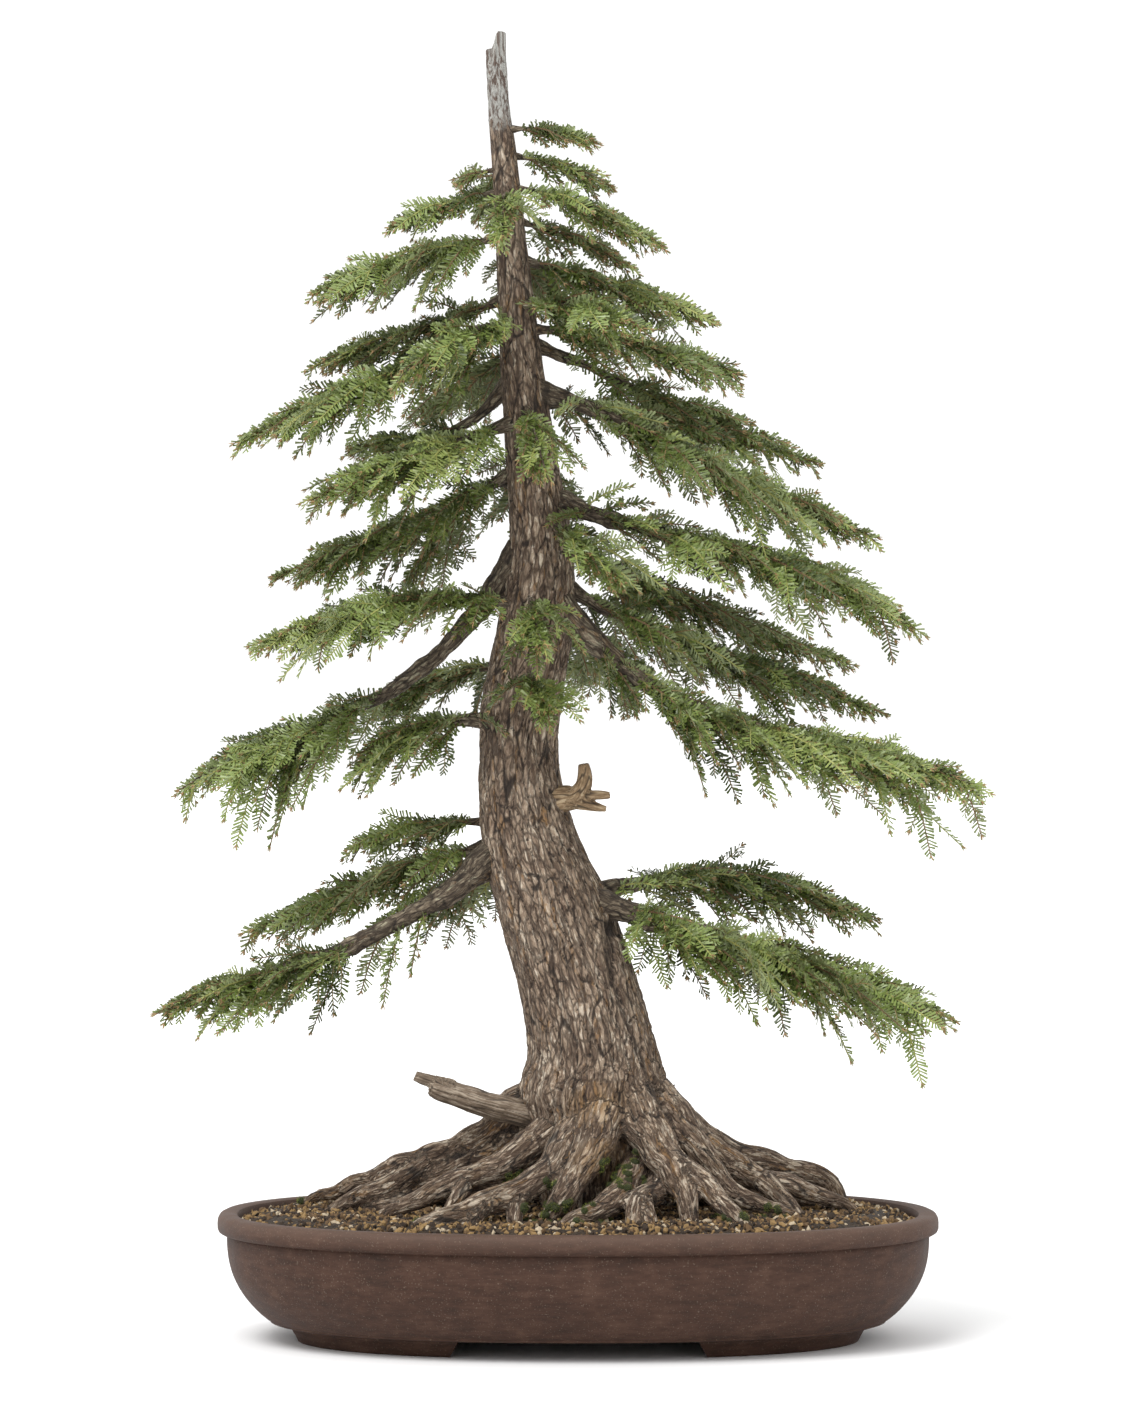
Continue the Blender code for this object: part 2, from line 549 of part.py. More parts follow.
def make_snags(trunk_cutter):
    """The two snapped branches, seated on the trunk."""
    low = limb_object("low_snag", LOW_SNAG, LOW_SNAG_RADII, SNAG_SIDES, DEAD_WOOD)
    forked = limb_object("forked_snag", FORKED_SNAG, FORKED_SNAG_RADII, SNAG_SIDES, DEAD_WOOD)
    prongs = [limb_object("prong", line, PRONG_RADII, LIMB_SIDES, DEAD_WOOD) for line in SNAG_PRONGS]
    boolean(forked, "UNION", prongs)
    boolean(low, "DIFFERENCE", [trunk_cutter()] + root_limbs(thicker=GAP))
    boolean(forked, "DIFFERENCE", [trunk_cutter()])
    return low, forked


def bough_point(bough, t):
    """A point on the bough's line: 0 at the middle of the trunk, 1 at its tip."""
    level = heading(bough.bearing + bough.sweep * t) * bough.reach * t
    fall = bough.drop * t + 6.75 * t * (1 - t) * (bough.rise * t - bough.dip * (1 - t))
    return trunk_centre(bough.height) + level + Vector((0.0, 0.0, fall))


def bough_radius(bough, t):
    return STEM_TIP_RADIUS + (bough.radius - STEM_TIP_RADIUS) * max(0.0, 1 - t) ** LIMB_TAPER


def bough_way(bough, t):
    """The bough's own direction there."""
    return (bough_point(bough, t + 0.01) - bough_point(bough, t - 0.01)).normalized()


def stations(bough, start, end):
    """Even shares of the bough's line between two of them."""
    count = max(2, round((end - start) * bough.reach / PATH_STEP) + 1)
    return [start + (end - start) * k / (count - 1) for k in range(count)]


def bough_limb(name, bough, shares, sides, material):
    """The bough's wood through those shares of its line, cut square at both ends."""
    points = [bough_point(bough, t) for t in shares]
    radii = [bough_radius(bough, t) for t in shares]
    return limb_object(name, points, radii, sides, material, [bough_way(bough, t) for t in shares])


def leaves_trunk_at(bough):
    """The share of the bough's line that lies inside the trunk."""
    return trunk_radius(bough.height) / bough.reach


class Room:
    """What a mass keeps clear of: the trunk, the other boughs' lines and the blades already grown."""

    def __init__(self):
        heights = np.linspace(GROUND, BREAK_HIGH, 160)
        self.trunk = np.array([trunk_centre(z) for z in heights])
        self.trunk_radii = np.array([trunk_radius(z) for z in heights])
        self.grown = {bough.name: [] for bough in BOUGHS}

    def enter(self, owner):
        """Gathers what stands round this mass."""
        self.points = []
        for bough in BOUGHS:
            if bough.name != owner.name:
                line = [(bough_point(bough, t), bough_radius(bough, t)) for t in np.linspace(0.0, 1.0, 90)]
                self.points += [(point, LINE_CLEARANCE + radius) for point, radius in line]
                self.points += [(point, BLADE_CLEARANCE) for point in self.grown[bough.name]]
        self.tree = kdtree.KDTree(len(self.points))
        for n, (point, _) in enumerate(self.points):
            self.tree.insert(point, n)
        self.tree.balance()

    def holds(self, samples):
        """Whether every sample is clear of what was gathered and of the trunk."""
        for point in samples:
            for _, n, distance in self.tree.find_range(point, MOST_CLEARANCE):
                if distance < self.points[n][1]:
                    return False
        cloud = np.array(samples)
        gaps = np.linalg.norm(cloud[:, None] - self.trunk[None], axis=2) - self.trunk_radii
        return gaps.min() > TRUNK_CLEARANCE


def on_stem(bough, shares, t):
    """The point of the stem's middle at that share, on the straight run between its rings."""
    k = max(n for n in range(len(shares) - 1) if shares[n] <= t)
    part = (t - shares[k]) / (shares[k + 1] - shares[k])
    return bough_point(bough, shares[k]).lerp(bough_point(bough, shares[k + 1]), part)


def blade_points(line, roll):
    """The middle and the toothed outline of a blade that bends along root, middle and tip."""
    root, middle, tip = line
    bend = middle * 2 - (root + tip) / 2
    length = (tip - root).length
    way = (tip - root) / length
    across = Matrix.Rotation(math.radians(roll), 3, way) @ way.cross(Vector((0, 0, 1))).normalized()
    half_width = min(BLADE_HALF_WIDTH_MAX, max(BLADE_HALF_WIDTH_MIN, BLADE_SHAPE * length))

    def at(u, v):
        on_bend = root * (1 - u) ** 2 + bend * 2 * u * (1 - u) + tip * u * u
        return on_bend + across * v * half_width

    sides = [at(u, v) for u, v in BLADE_EDGE] + [at(1, 0)] + [at(u, -v) for u, v in reversed(BLADE_EDGE)]
    return at(0.5, 0), [at(0, 0)] + sides, way.cross(across)


def blade(line, roll):
    """A flat spray of needles on its twig, thickest in the middle and sharp at its teeth."""
    middle, outline, face = blade_points(line, roll)
    bm = bmesh.new()
    rim = [bm.verts.new(p) for p in outline]
    caps = [bm.verts.new(middle + face * s * BLADE_THICKNESS / 2) for s in (1, -1)]
    for k in range(len(rim)):
        following = rim[(k + 1) % len(rim)]
        bm.faces.new((rim[k], following, caps[0]))
        bm.faces.new((following, rim[k], caps[1]))
    return show("blade", to_mesh(bm, "blade"), FOLIAGE)


def samples_of(line, roll):
    """Points all over the blade on that line, but for its root."""
    middle, outline, _ = blade_points(line, roll)
    rim = []
    for k, point in enumerate(outline):
        following = outline[(k + 1) % len(outline)]
        rim += [point.lerp(following, part) for part in (0.0, 0.34, 0.67)]
    cloud = [middle.lerp(point, part) for point in rim for part in (0.25, 0.5, 0.75, 1.0)]
    return [point for point in cloud if (point - line[0]).length > ROOT_REACH]


def side_twigs(bough, shares, room):
    """The side twigs of a mass, left and right in turn, each arching out and hanging at its tip."""
    rule = random.Random(bough.name)
    room.enter(bough)
    start, end = max(shares[0], leaves_trunk_at(bough)), shares[-1]
    count = max(4, round((end - start) * bough.reach / BLADE_PITCH))
    twigs = []
    for k in range(count):
        u = (k + 0.35 + 0.3 * rule.random()) / count
        t = start + (end - start) * (0.03 + 0.94 * u)
        along = bough_way(bough, t)
        level = Vector((along.x, along.y, 0.0)).normalized()
        side = 1 if k % 2 == 0 else -1
        angle = BLADE_ANGLE_ROOT + (BLADE_ANGLE_TIP - BLADE_ANGLE_ROOT) * u + rule.uniform(-8, 8)
        way = Matrix.Rotation(math.radians(side * angle), 3, "Z") @ level
        length = bough.spread * (0.70 + 1.20 * u) * (1 - 0.80 * u * u) * rule.uniform(0.88, 1.12)
        lift = math.radians(BLADE_LIFT * (1 - u) + rule.uniform(-12, 12))
        fall = bough.weep * rule.uniform(0.5, 1.25) * (1 - 0.5 * u)
        roll = rule.choice((-1, 1)) * rule.uniform(0.3, 1.2) * BLADE_ROLL
        root = on_stem(bough, shares, t)
        for length_share, fall_share in TRIES:
            reach = length * length_share
            line = [
                root + way * reach * s * math.cos(lift)
                + Vector((0, 0, reach * (s * (math.sin(lift) + 0.5 * along.z) - fall * fall_share * s * s)))
                for s in (0.0, 0.5, 1.0)
            ]
            samples = samples_of(line, roll)
            if room.holds(samples):
                twigs.append((line, roll))
                room.grown[bough.name] += samples
                break
    return twigs


def tip_share(bough):
    """Where the last blade takes over from the stem."""
    return 1.0 - min(TIP_BLADE / bough.reach, TIP_BLADE_MOST)


def make_mass(bough, start, trunk_cutter, room):
    """One mass of foliage: its stem, side twigs and toothed sprays, fused."""
    shares = stations(bough, start, tip_share(bough))
    mass = bough_limb("foliage_" + bough.name, bough, shares, STEM_SIDES, FOLIAGE)
    blades = [blade(*twig) for twig in side_twigs(bough, shares, room)]
    sunk = shares[-1] - TIP_SUNK / bough.reach
    blades.append(blade([bough_point(bough, t) for t in (sunk, (sunk + 1.0) / 2, 1.0)], BLADE_ROLL))
    boolean(mass, "UNION", blades)
    boolean(mass, "DIFFERENCE", [trunk_cutter()])
    return keep_largest(mass)


def make_bough(bough, trunk_cutter):
    """The bare wood of a bough, from the trunk's bark to where its foliage begins."""
    wood = bough_limb("bough_" + bough.name, bough, stations(bough, 0.0, bough.bare), LIMB_SIDES, BARK)
    return boolean(wood, "DIFFERENCE", [trunk_cutter()])


def make_tree():
    make_pot()
    make_soil()
    make_trunk()

    def trunk_cutter():
        return trunk_skin("cutter", thicker=GAP)

    make_snags(trunk_cutter)
    room = Room()
    for bough in BOUGHS:
        start = leaves_trunk_at(bough) * 0.6
        if bough.bare > 0.0:
            make_bough(bough, trunk_cutter)
            start = bough.bare + GAP / bough.reach
        make_mass(bough, start, trunk_cutter, room)


make_tree()
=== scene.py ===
"""Western hemlock bonsai in its oval pot: how it looks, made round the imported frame.

Metres, +Z up, the front faces -Y, the origin on the table under the middle of the pot.
"""

import math
import random
from collections import namedtuple

import bmesh
import bpy
import numpy as np
from mathutils import Matrix, Vector, kdtree, noise


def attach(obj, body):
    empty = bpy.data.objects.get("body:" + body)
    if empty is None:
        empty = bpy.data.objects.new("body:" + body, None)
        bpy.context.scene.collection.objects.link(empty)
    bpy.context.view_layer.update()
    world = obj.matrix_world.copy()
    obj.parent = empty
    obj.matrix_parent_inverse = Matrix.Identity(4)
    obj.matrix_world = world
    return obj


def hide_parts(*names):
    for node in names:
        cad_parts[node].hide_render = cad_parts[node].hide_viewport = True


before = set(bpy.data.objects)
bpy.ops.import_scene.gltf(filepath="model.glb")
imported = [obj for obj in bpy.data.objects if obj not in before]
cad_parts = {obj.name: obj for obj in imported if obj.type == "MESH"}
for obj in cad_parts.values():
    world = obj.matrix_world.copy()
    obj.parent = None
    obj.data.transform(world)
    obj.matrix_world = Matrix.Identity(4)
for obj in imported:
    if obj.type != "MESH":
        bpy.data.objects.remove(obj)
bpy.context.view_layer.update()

# The view and the light. The pot stands on a plain white table against plain white. One wide soft
# light comes from high on the left and the rest from all round, and the camera looks level at the
# middle of the tree from a little over four metres.
CAMERA_DISTANCE = 4.27
CAMERA_SIDE = -0.0128
CAMERA_HEIGHT = 0.479
VIEW_HEIGHT = 1402 / 1328
SENSOR = 36.0
FAR_END = 200.0
SKY_LIGHT = 1.12
SUN_LIGHT = 1.9
SUN_SOFTNESS = 30
SUN_FROM = (-0.42, -0.60, 1.12)
TABLE_SIZE = 60.0

camera_data = bpy.data.cameras.new("camera")
camera_data.sensor_width = SENSOR
camera_data.lens = SENSOR * CAMERA_DISTANCE / VIEW_HEIGHT
camera_data.clip_end = FAR_END
camera = bpy.data.objects.new("camera", camera_data)
camera.location = (CAMERA_SIDE, -CAMERA_DISTANCE, CAMERA_HEIGHT)
camera.rotation_euler = (math.radians(90), 0.0, 0.0)
bpy.context.scene.collection.objects.link(camera)
bpy.context.scene.camera = camera
bpy.context.scene.view_settings.view_transform = "Standard"

sky = bpy.data.worlds.new("sky")
sky.use_nodes = True
sky.node_tree.nodes["Background"].inputs["Color"].default_value = (1.0, 1.0, 1.0, 1.0)
sky.node_tree.nodes["Background"].inputs["Strength"].default_value = SKY_LIGHT
bpy.context.scene.world = sky

sun_data = bpy.data.lights.new("sun", "SUN")
sun_data.energy = SUN_LIGHT
sun_data.angle = math.radians(SUN_SOFTNESS)
sun = bpy.data.objects.new("sun", sun_data)
sun.rotation_euler = Vector(SUN_FROM).to_track_quat("Z", "Y").to_euler()
bpy.context.scene.collection.objects.link(sun)


class Socket:
    """A shader value that can stand in sums."""

    def __init__(self, finish, link):
        self.finish, self.link = finish, link

    def __add__(self, other):
        return self.finish.sum("ADD", self, other)

    def __sub__(self, other):
        return self.finish.sum("SUBTRACT", self, other)

    def __rsub__(self, other):
        return self.finish.sum("SUBTRACT", other, self)

    def __mul__(self, other):
        return self.finish.sum("MULTIPLY", self, other)

    __radd__ = __add__
    __rmul__ = __mul__


class Finish:
    """A surface finish: a material whose pattern is written as expressions."""

    def __init__(self, name, colour=(0.5, 0.5, 0.5), roughness=0.8):
        self.material = bpy.data.materials.new(name)
        self.material.use_nodes = True
        self.tree = self.material.node_tree
        self.shader = self.tree.nodes["Principled BSDF"]
        self.shader.inputs["Base Color"].default_value = (*colour, 1.0)
        self.shader.inputs["Roughness"].default_value = roughness

    def feed(self, socket, value):
        if isinstance(value, Socket):
            self.tree.links.new(value.link, socket)
        elif isinstance(value, tuple) and len(value) == 3 and socket.type == "RGBA":
            socket.default_value = (*value, 1.0)
        else:
            socket.default_value = value

    def node(self, kind, settings=None, sockets=None, output=0):
        """One node of that type: its settings first, then what its sockets take."""
        made = self.tree.nodes.new("ShaderNode" + kind)
        for name, value in (settings or {}).items():
            if name == "stops":
                ramp = made.color_ramp
                while len(ramp.elements) < len(value):
                    ramp.elements.new(0.5)
                for element, (place, colour) in zip(ramp.elements, value):
                    element.position = place
                    element.color = (*colour, 1.0) if isinstance(colour, tuple) else (colour,) * 3 + (1.0,)
            else:
                setattr(made, name, value)
        for name, value in (sockets or {}).items():
            self.feed(made.inputs[name], value)
        return Socket(self, made.outputs[output])

    def sum(self, operation, first, second):
        return self.node("Math", {"operation": operation}, {0: first, 1: second})

    def place(self, scale=(1.0, 1.0, 1.0), attribute=None):
        """Where the point is on the piece, stretched by scale."""
        if attribute:
            where = self.node("Attribute", {"attribute_name": attribute}, output="Vector")
        else:
            where = self.node("TexCoord", output="Object")
        return self.node("Mapping", None, {"Vector": where, "Scale": scale})

    def noise(self, where, size, detail=4.0, roughness=0.55, distortion=0.0):
        """Soft noise of that feature size in metres, from 0 to 1."""
        sockets = {"Vector": where, "Scale": 1.0 / size, "Detail": detail, "Roughness": roughness}
        return self.node("TexNoise", None, {**sockets, "Distortion": distortion})

    def cells(self, where, size, feature="F1", output="Distance"):
        return self.node("TexVoronoi", {"feature": feature}, {"Vector": where, "Scale": 1.0 / size}, output)

    def ramp(self, value, *stops):
        return self.node("ValToRGB", {"stops": stops}, {"Fac": value})

    def clear(self, value, low, high):
        """0 below low, 1 above high and smooth between."""
        settings = {"interpolation_type": "SMOOTHSTEP"}
        return self.node("MapRange", settings, {"Value": value, "From Min": low, "From Max": high})

    def mix(self, factor, first, second):
        return self.node("Mix", {"data_type": "RGBA"}, {0: factor, 6: first, 7: second}, output=2)

    def stored(self, name):
        """A number that the mesh stores at each of its points."""
        return self.node("Attribute", {"attribute_name": name}, output=2)

    def axis(self, value, number):
        """One of the three numbers of a place or of a colour."""
        return self.node("SeparateXYZ", None, {0: value}, output=number)

    def bump(self, height, distance, strength=1.0):
        sockets = {"Height": height, "Distance": distance, "Strength": strength}
        self.feed(self.shader.inputs["Normal"], self.node("Bump", None, sockets))

    def paint(self, colour=None, roughness=None):
        if colour is not None:
            self.feed(self.shader.inputs["Base Color"], colour)
        if roughness is not None:
            self.feed(self.shader.inputs["Roughness"], roughness)


def put(name, mesh, finishes, slot=None, replaced=()):
    """Adds a piece to the scene, on the tree's one body if it has a slot, and hides the imported nodes that
    it stands for.
    """
    piece = bpy.data.objects.new(name, mesh)
    for finish in finishes:
        mesh.materials.append(finish.material)
    bpy.context.scene.collection.objects.link(piece)
    if slot:
        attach(piece, "root")
    if replaced:
        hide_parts(*replaced)
    return piece


def mesh_of(bm, name):
    """The bmesh's shape as a mesh, with the bmesh itself done away with."""
    mesh = bpy.data.meshes.new(name)
    bm.to_mesh(mesh)
    bm.free()
    return mesh


table = bmesh.new()
bmesh.ops.create_grid(table, x_segments=1, y_segments=1, size=TABLE_SIZE / 2)
white = Finish("white_table", (0.93, 0.93, 0.93), 0.9)
put("table", mesh_of(table, "table"), [white])

# The pot: dark brown unglazed stoneware, thrown and pressed into an oval, with a rolled lip that
# overhangs a full belly, a thin bead round its base and four bracket feet. It is one piece: the
# foot ring is cut to brackets and joined to the bowl before firing.
POT_HALF_LENGTH = 0.2710
POT_HALF_DEPTH = 0.2030
POT_SQUARENESS = 2.25
POT_SEGMENTS = 176
RIM_TOP = 0.0950
LIP_UNDERSIDE = 0.0800
LIP_OVERHANG = 0.0070
LIP_WIDTH = 0.0160
BODY_UNDERSIDE = 0.0135
BODY_TUCK = 0.0330
BODY_TUCK_POWER = 2.6
BEAD = 0.0007
BEAD_HEIGHT = 0.0034
WALL = 0.0105
FLOOR_TOP = 0.0240
FOOT_INSET = 0.0530
FOOT_FLARE = 0.0050
FOOT_WIDTH = 0.0300
FOOT_FRONT_GAP = 0.0940
FOOT_END_GAP = 0.0350
FOOT_SLANT = 0.0070
FOOT_ROUNDING = 0.0016
CUT_BELOW = -0.0100
CUT_ABOVE = 0.0500
BELLY_RINGS = 16


def shape_oval(ring, inset, height):
    """Moves a ring of vertices onto the pot's plan, drawn in from the rim's outline by inset."""
    a, b = POT_HALF_LENGTH - inset, POT_HALF_DEPTH - inset
    power = 2.0 / POT_SQUARENESS
    for k, vert in enumerate(ring):
        turn = 2 * math.pi * (k + 0.5) / len(ring)
        c, s = math.cos(turn), math.sin(turn)
        vert.co = (a * math.copysign(abs(c) ** power, c), b * math.copysign(abs(s) ** power, s), height)


def next_ring(bm, ring):
    """Extrudes a closed ring of vertices, and returns the new ring in the same order."""
    edges = [bm.edges.get((a, b)) for a, b in zip(ring, ring[1:] + ring[:1])]
    made = set(bmesh.ops.extrude_edge_only(bm, edges=edges)["geom"])
    return [next(e.other_vert(v) for e in v.link_edges if e.other_vert(v) in made) for v in ring]


def turned_bowl(name, stations):
    """A closed oval form through (inset, height) stations, from its underside round to its inside."""
    bm = bmesh.new()
    ring = list(bmesh.ops.create_circle(bm, segments=POT_SEGMENTS, radius=1.0)["verts"])
    first = ring
    for n, station in enumerate(stations):
        ring = next_ring(bm, ring) if n else ring
        shape_oval(ring, *station)
    for end in (first, ring):
        bmesh.ops.contextual_create(bm, geom=end)
    bmesh.ops.recalc_face_normals(bm, faces=bm.faces)
    return mesh_of(bm, name)


def wall_inset(height):
    up = min(1.0, max(0.0, (height - BODY_UNDERSIDE) / (LIP_UNDERSIDE - BODY_UNDERSIDE)))
    return LIP_OVERHANG + BODY_TUCK * (1.0 - up) ** BODY_TUCK_POWER


# The lip's section: how far in, and how far above its underside or below its top.
LIP_OUTSIDE = (
    (LIP_OVERHANG + 0.0004, -0.0006),
    (LIP_OVERHANG, 0.0004),
    (0.0030, 0.0006),
    (0.0010, 0.0018),
    (0.0001, 0.0040),
    (0.0000, 0.0075),
)
LIP_TOP = (
    (0.0003, 0.0042),
    (0.0016, 0.0016),
    (0.0042, 0.0003),
    (0.0080, 0.0000),
    (LIP_WIDTH - 0.0034, 0.0001),
    (LIP_WIDTH - 0.0012, 0.0010),
    (LIP_WIDTH - 0.0002, 0.0032),
    (LIP_WIDTH, 0.0070),
)
# The foot ring's section: how far in of its line, and how far above the table.
FOOT_SECTION = (
    (FOOT_FLARE + 0.0012, 0.0000),
    (FOOT_FLARE, 0.0010),
    (0.0034, 0.0050),
    (0.0012, 0.0090),
    (-0.0006, 0.0104),
    (-0.0006, 0.0122),
    (0.0004, BODY_UNDERSIDE + 0.0012),
)


def pot_stations():
    """The pot's section: base bead, belly, rolled lip, inner wall and floor."""
    base = wall_inset(BODY_UNDERSIDE)
    bead_top = BODY_UNDERSIDE + BEAD_HEIGHT
    stations = [(base + 0.012, BODY_UNDERSIDE), (base + 0.0014, BODY_UNDERSIDE)]
    stations += [(base - BEAD, BODY_UNDERSIDE + 0.0007), (base - BEAD * 1.6, BODY_UNDERSIDE + 0.0019)]
    stations += [(wall_inset(bead_top) + 0.0004, bead_top)]
    for k in range(1, BELLY_RINGS + 1):
        height = bead_top + (LIP_UNDERSIDE - bead_top - 0.0012) * k / BELLY_RINGS
        stations.append((wall_inset(height), height))
    stations += [(inset, LIP_UNDERSIDE + up) for inset, up in LIP_OUTSIDE]
    stations += [(inset, RIM_TOP - down) for inset, down in LIP_TOP]
    return stations + [(wall_inset(height) + WALL, height) for height in (LIP_UNDERSIDE, FLOOR_TOP)]


def boolean(piece, operation, others):
    """Cuts or joins the piece by each of the others, which are then removed."""
    for other in others:
        modifier = piece.modifiers.new("cut", "BOOLEAN")
        modifier.operation = operation
        modifier.object = other
    apply_modifiers(piece)
    for other in others:
        bpy.data.objects.remove(other, do_unlink=True)


def apply_modifiers(piece):
    graph = bpy.context.evaluated_depsgraph_get()
    made = bpy.data.meshes.new_from_object(piece.evaluated_get(graph))
    piece.modifiers.clear()
    piece.data = made


def refinish(piece, finish):
    piece.data.materials.clear()
    piece.data.materials.append(finish.material)


def smooth(mesh):
    for face in mesh.polygons:
        face.use_smooth = True


def gap_wedge(half_gap, length, along):
    """What is cut out of the foot ring between two feet, wider at the table."""
    bm = bmesh.new()
    cube = bmesh.ops.create_cube(bm, size=1.0)["verts"]
    across = Vector((along.y, along.x, 0.0))
    for vert in cube:
        corner = vert.co * 2
        height = CUT_BELOW if corner.z < 0 else BODY_UNDERSIDE + 0.004
        half = half_gap - FOOT_SLANT * height / BODY_UNDERSIDE
        vert.co = across * corner.x * half + along * corner.y * length + Vector((0, 0, height))
    bmesh.ops.recalc_face_normals(bm, faces=bm.faces)
    return put("gap", mesh_of(bm, "gap"), [])


clay = Finish("unglazed_clay", roughness=0.7)
clay.shader.inputs["Specular IOR Level"].default_value = 0.2
where = clay.place()
mottle = clay.noise(where, 0.032, 6.0, 0.68)
streaks = clay.noise(clay.place((0.22, 0.22, 1.0)), 0.0040, 5.0, 0.72)
grit_specks = clay.clear(clay.noise(where, 0.0013, 2.0, 0.5), 0.63, 0.70)
pale_bloom = clay.clear(clay.noise(where, 0.016, 5.0, 0.68), 0.56, 0.74)
# The lip is painted lighter towards its top.
lip_lighter_upwards = clay.clear(clay.axis(where, 2), LIP_UNDERSIDE, RIM_TOP)
body = clay.ramp(
    mottle * 0.45 + streaks * 0.55,
    (0.30, (0.024, 0.0130, 0.0085)),
    (0.50, (0.054, 0.0265, 0.0175)),
    (0.70, (0.092, 0.0500, 0.0340)),
)
body = clay.mix(pale_bloom * 0.25, body, (0.110, 0.064, 0.044))
body = clay.mix(lip_lighter_upwards * 0.40, body, (0.150, 0.100, 0.076))
body = clay.mix(grit_specks * 0.50, body, (0.200, 0.150, 0.112))
clay.paint(body, clay.clear(mottle, 0.2, 0.8) * 0.18 + 0.56)
clay.bump(clay.noise(where, 0.0016, 4.0, 0.6) * 0.6 + streaks * 0.8 + grit_specks * 0.2, 0.0006, 0.7)

pot = put("pot_clay", turned_bowl("pot", pot_stations()), [clay], "stoneware", ["pot"])
feet = put("feet", turned_bowl("feet", [(FOOT_INSET + inset, up) for inset, up in FOOT_SECTION]), [])
within = [(FOOT_INSET + FOOT_WIDTH, height) for height in (CUT_BELOW, CUT_ABOVE)]
hollow = put("hollow", turned_bowl("hollow", within), [])
gaps = [
    gap_wedge(FOOT_FRONT_GAP, POT_HALF_DEPTH, Vector((0, 1, 0))),
    gap_wedge(FOOT_END_GAP, POT_HALF_LENGTH, Vector((1, 0, 0))),
]
boolean(feet, "DIFFERENCE", [hollow, *gaps])
rounding = feet.modifiers.new("rounding", "BEVEL")
rounding.width = FOOT_ROUNDING
rounding.segments = 3
rounding.limit_method = "ANGLE"
rounding.angle_limit = math.radians(50)
boolean(pot, "UNION", [feet])
refinish(pot, clay)
smooth(pot.data)
edge_split = pot.modifiers.new("edges", "EDGE_SPLIT")
edge_split.split_angle = math.radians(40)
apply_modifiers(pot)

# The soil: a coarse grit of fired clay, bark and pumice, which drains fast and is heaped a little
# towards the trunk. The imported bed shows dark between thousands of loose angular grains.
SOIL_EDGE = 0.0880
GROUND = 0.0955
SOIL_SHOULDER = 0.0260
GRAIN_PITCH = 0.0041
GRAIN_RADIUS = (0.0014, 0.0031)
GRAIN_STANDS = (-0.65, 0.30)
GRAIN_THICKNESS = (0.45, 0.85)
GRAIN_BREADTH = (0.65, 1.05)
GRAIN_LENGTH = (0.9, 1.5)
GRAIN_ROUGHNESS = 0.26
HEAP = 0.0022
HEAP_WIDTH = 0.03
GRAIN_COLOURS = (
    ("ochre_grit", (0.270, 0.170, 0.070), 0.27),
    ("brown_grit", (0.125, 0.074, 0.034), 0.33),
    ("dark_grit", (0.036, 0.023, 0.014), 0.32),
    ("pale_grit", (0.480, 0.390, 0.270), 0.08),
)


def across_pot(x, y, inset):
    """How far out a place is: 0 at the middle and 1 on the oval drawn in by inset."""
    a, b = POT_HALF_LENGTH - inset, POT_HALF_DEPTH - inset
    return ((abs(x) / a) ** POT_SQUARENESS + (abs(y) / b) ** POT_SQUARENESS) ** (1 / POT_SQUARENESS)


def soil_height(x, y):
    """How high the bed of soil stands there."""
    inward = (1.0 - across_pot(x, y, LIP_WIDTH)) * (POT_HALF_DEPTH - LIP_WIDTH) / SOIL_SHOULDER
    return SOIL_EDGE + (GROUND - SOIL_EDGE) * min(1.0, max(0.0, inward))


def joined(name, parts, rounded=False):
    """One mesh of triangles from parts: for each its points, its faces and the number of its finish."""
    points, faces, slots, offset = [], [], [], 0
    for part_points, part_faces, part_slots in parts:
        points.append(part_points)
        faces.append(part_faces + offset)
        slots.append(np.broadcast_to(part_slots, len(part_faces)))
        offset += len(part_points)
    points, faces, slots = (np.concatenate(arrays) for arrays in (points, faces, slots))
    mesh = bpy.data.meshes.new(name)
    mesh.vertices.add(len(points))
    mesh.vertices.foreach_set("co", np.ascontiguousarray(points, dtype=np.float32).ravel())
    mesh.loops.add(len(faces) * 3)
    mesh.loops.foreach_set("vertex_index", np.ascontiguousarray(faces, dtype=np.int32).ravel())
    mesh.polygons.add(len(faces))
    mesh.polygons.foreach_set("loop_start", np.arange(0, len(faces) * 3, 3, dtype=np.int32))
    mesh.polygons.foreach_set("material_index", np.ascontiguousarray(slots, dtype=np.int32))
    mesh.polygons.foreach_set("use_smooth", np.full(len(faces), rounded))
    mesh.update()
    mesh.validate()
    return mesh


def shape_arrays(bm):
    """The points and triangles of a small shape that is then repeated."""
    bmesh.ops.triangulate(bm, faces=bm.faces)
    bmesh.ops.recalc_face_normals(bm, faces=bm.faces)
    bm.verts.index_update()
    points = np.array([v.co[:] for v in bm.verts])
    faces = np.array([[v.index for v in f.verts] for f in bm.faces])
    bm.free()
    return points, faces


def random_turn(rule):
    """A rotation to any attitude at all."""
    axis = Vector([rule.gauss(0, 1) for _ in range(3)]).normalized()
    return np.array(Matrix.Rotation(rule.uniform(0, 2 * math.pi), 3, axis))


# The bed shows only in the gaps between the grains and is painted near black: painted shade in those gaps,
# mottled a little.
bed = Finish("bed_of_grit", roughness=0.95)
gap_shade_mottle = bed.noise(bed.place(), 0.004)
bed.paint(bed.ramp(gap_shade_mottle, (0.35, (0.012, 0.008, 0.005)), (0.65, (0.050, 0.032, 0.018))))
bed.bump(bed.cells(bed.place(), 0.004), 0.002)
refinish(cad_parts["soil"], bed)

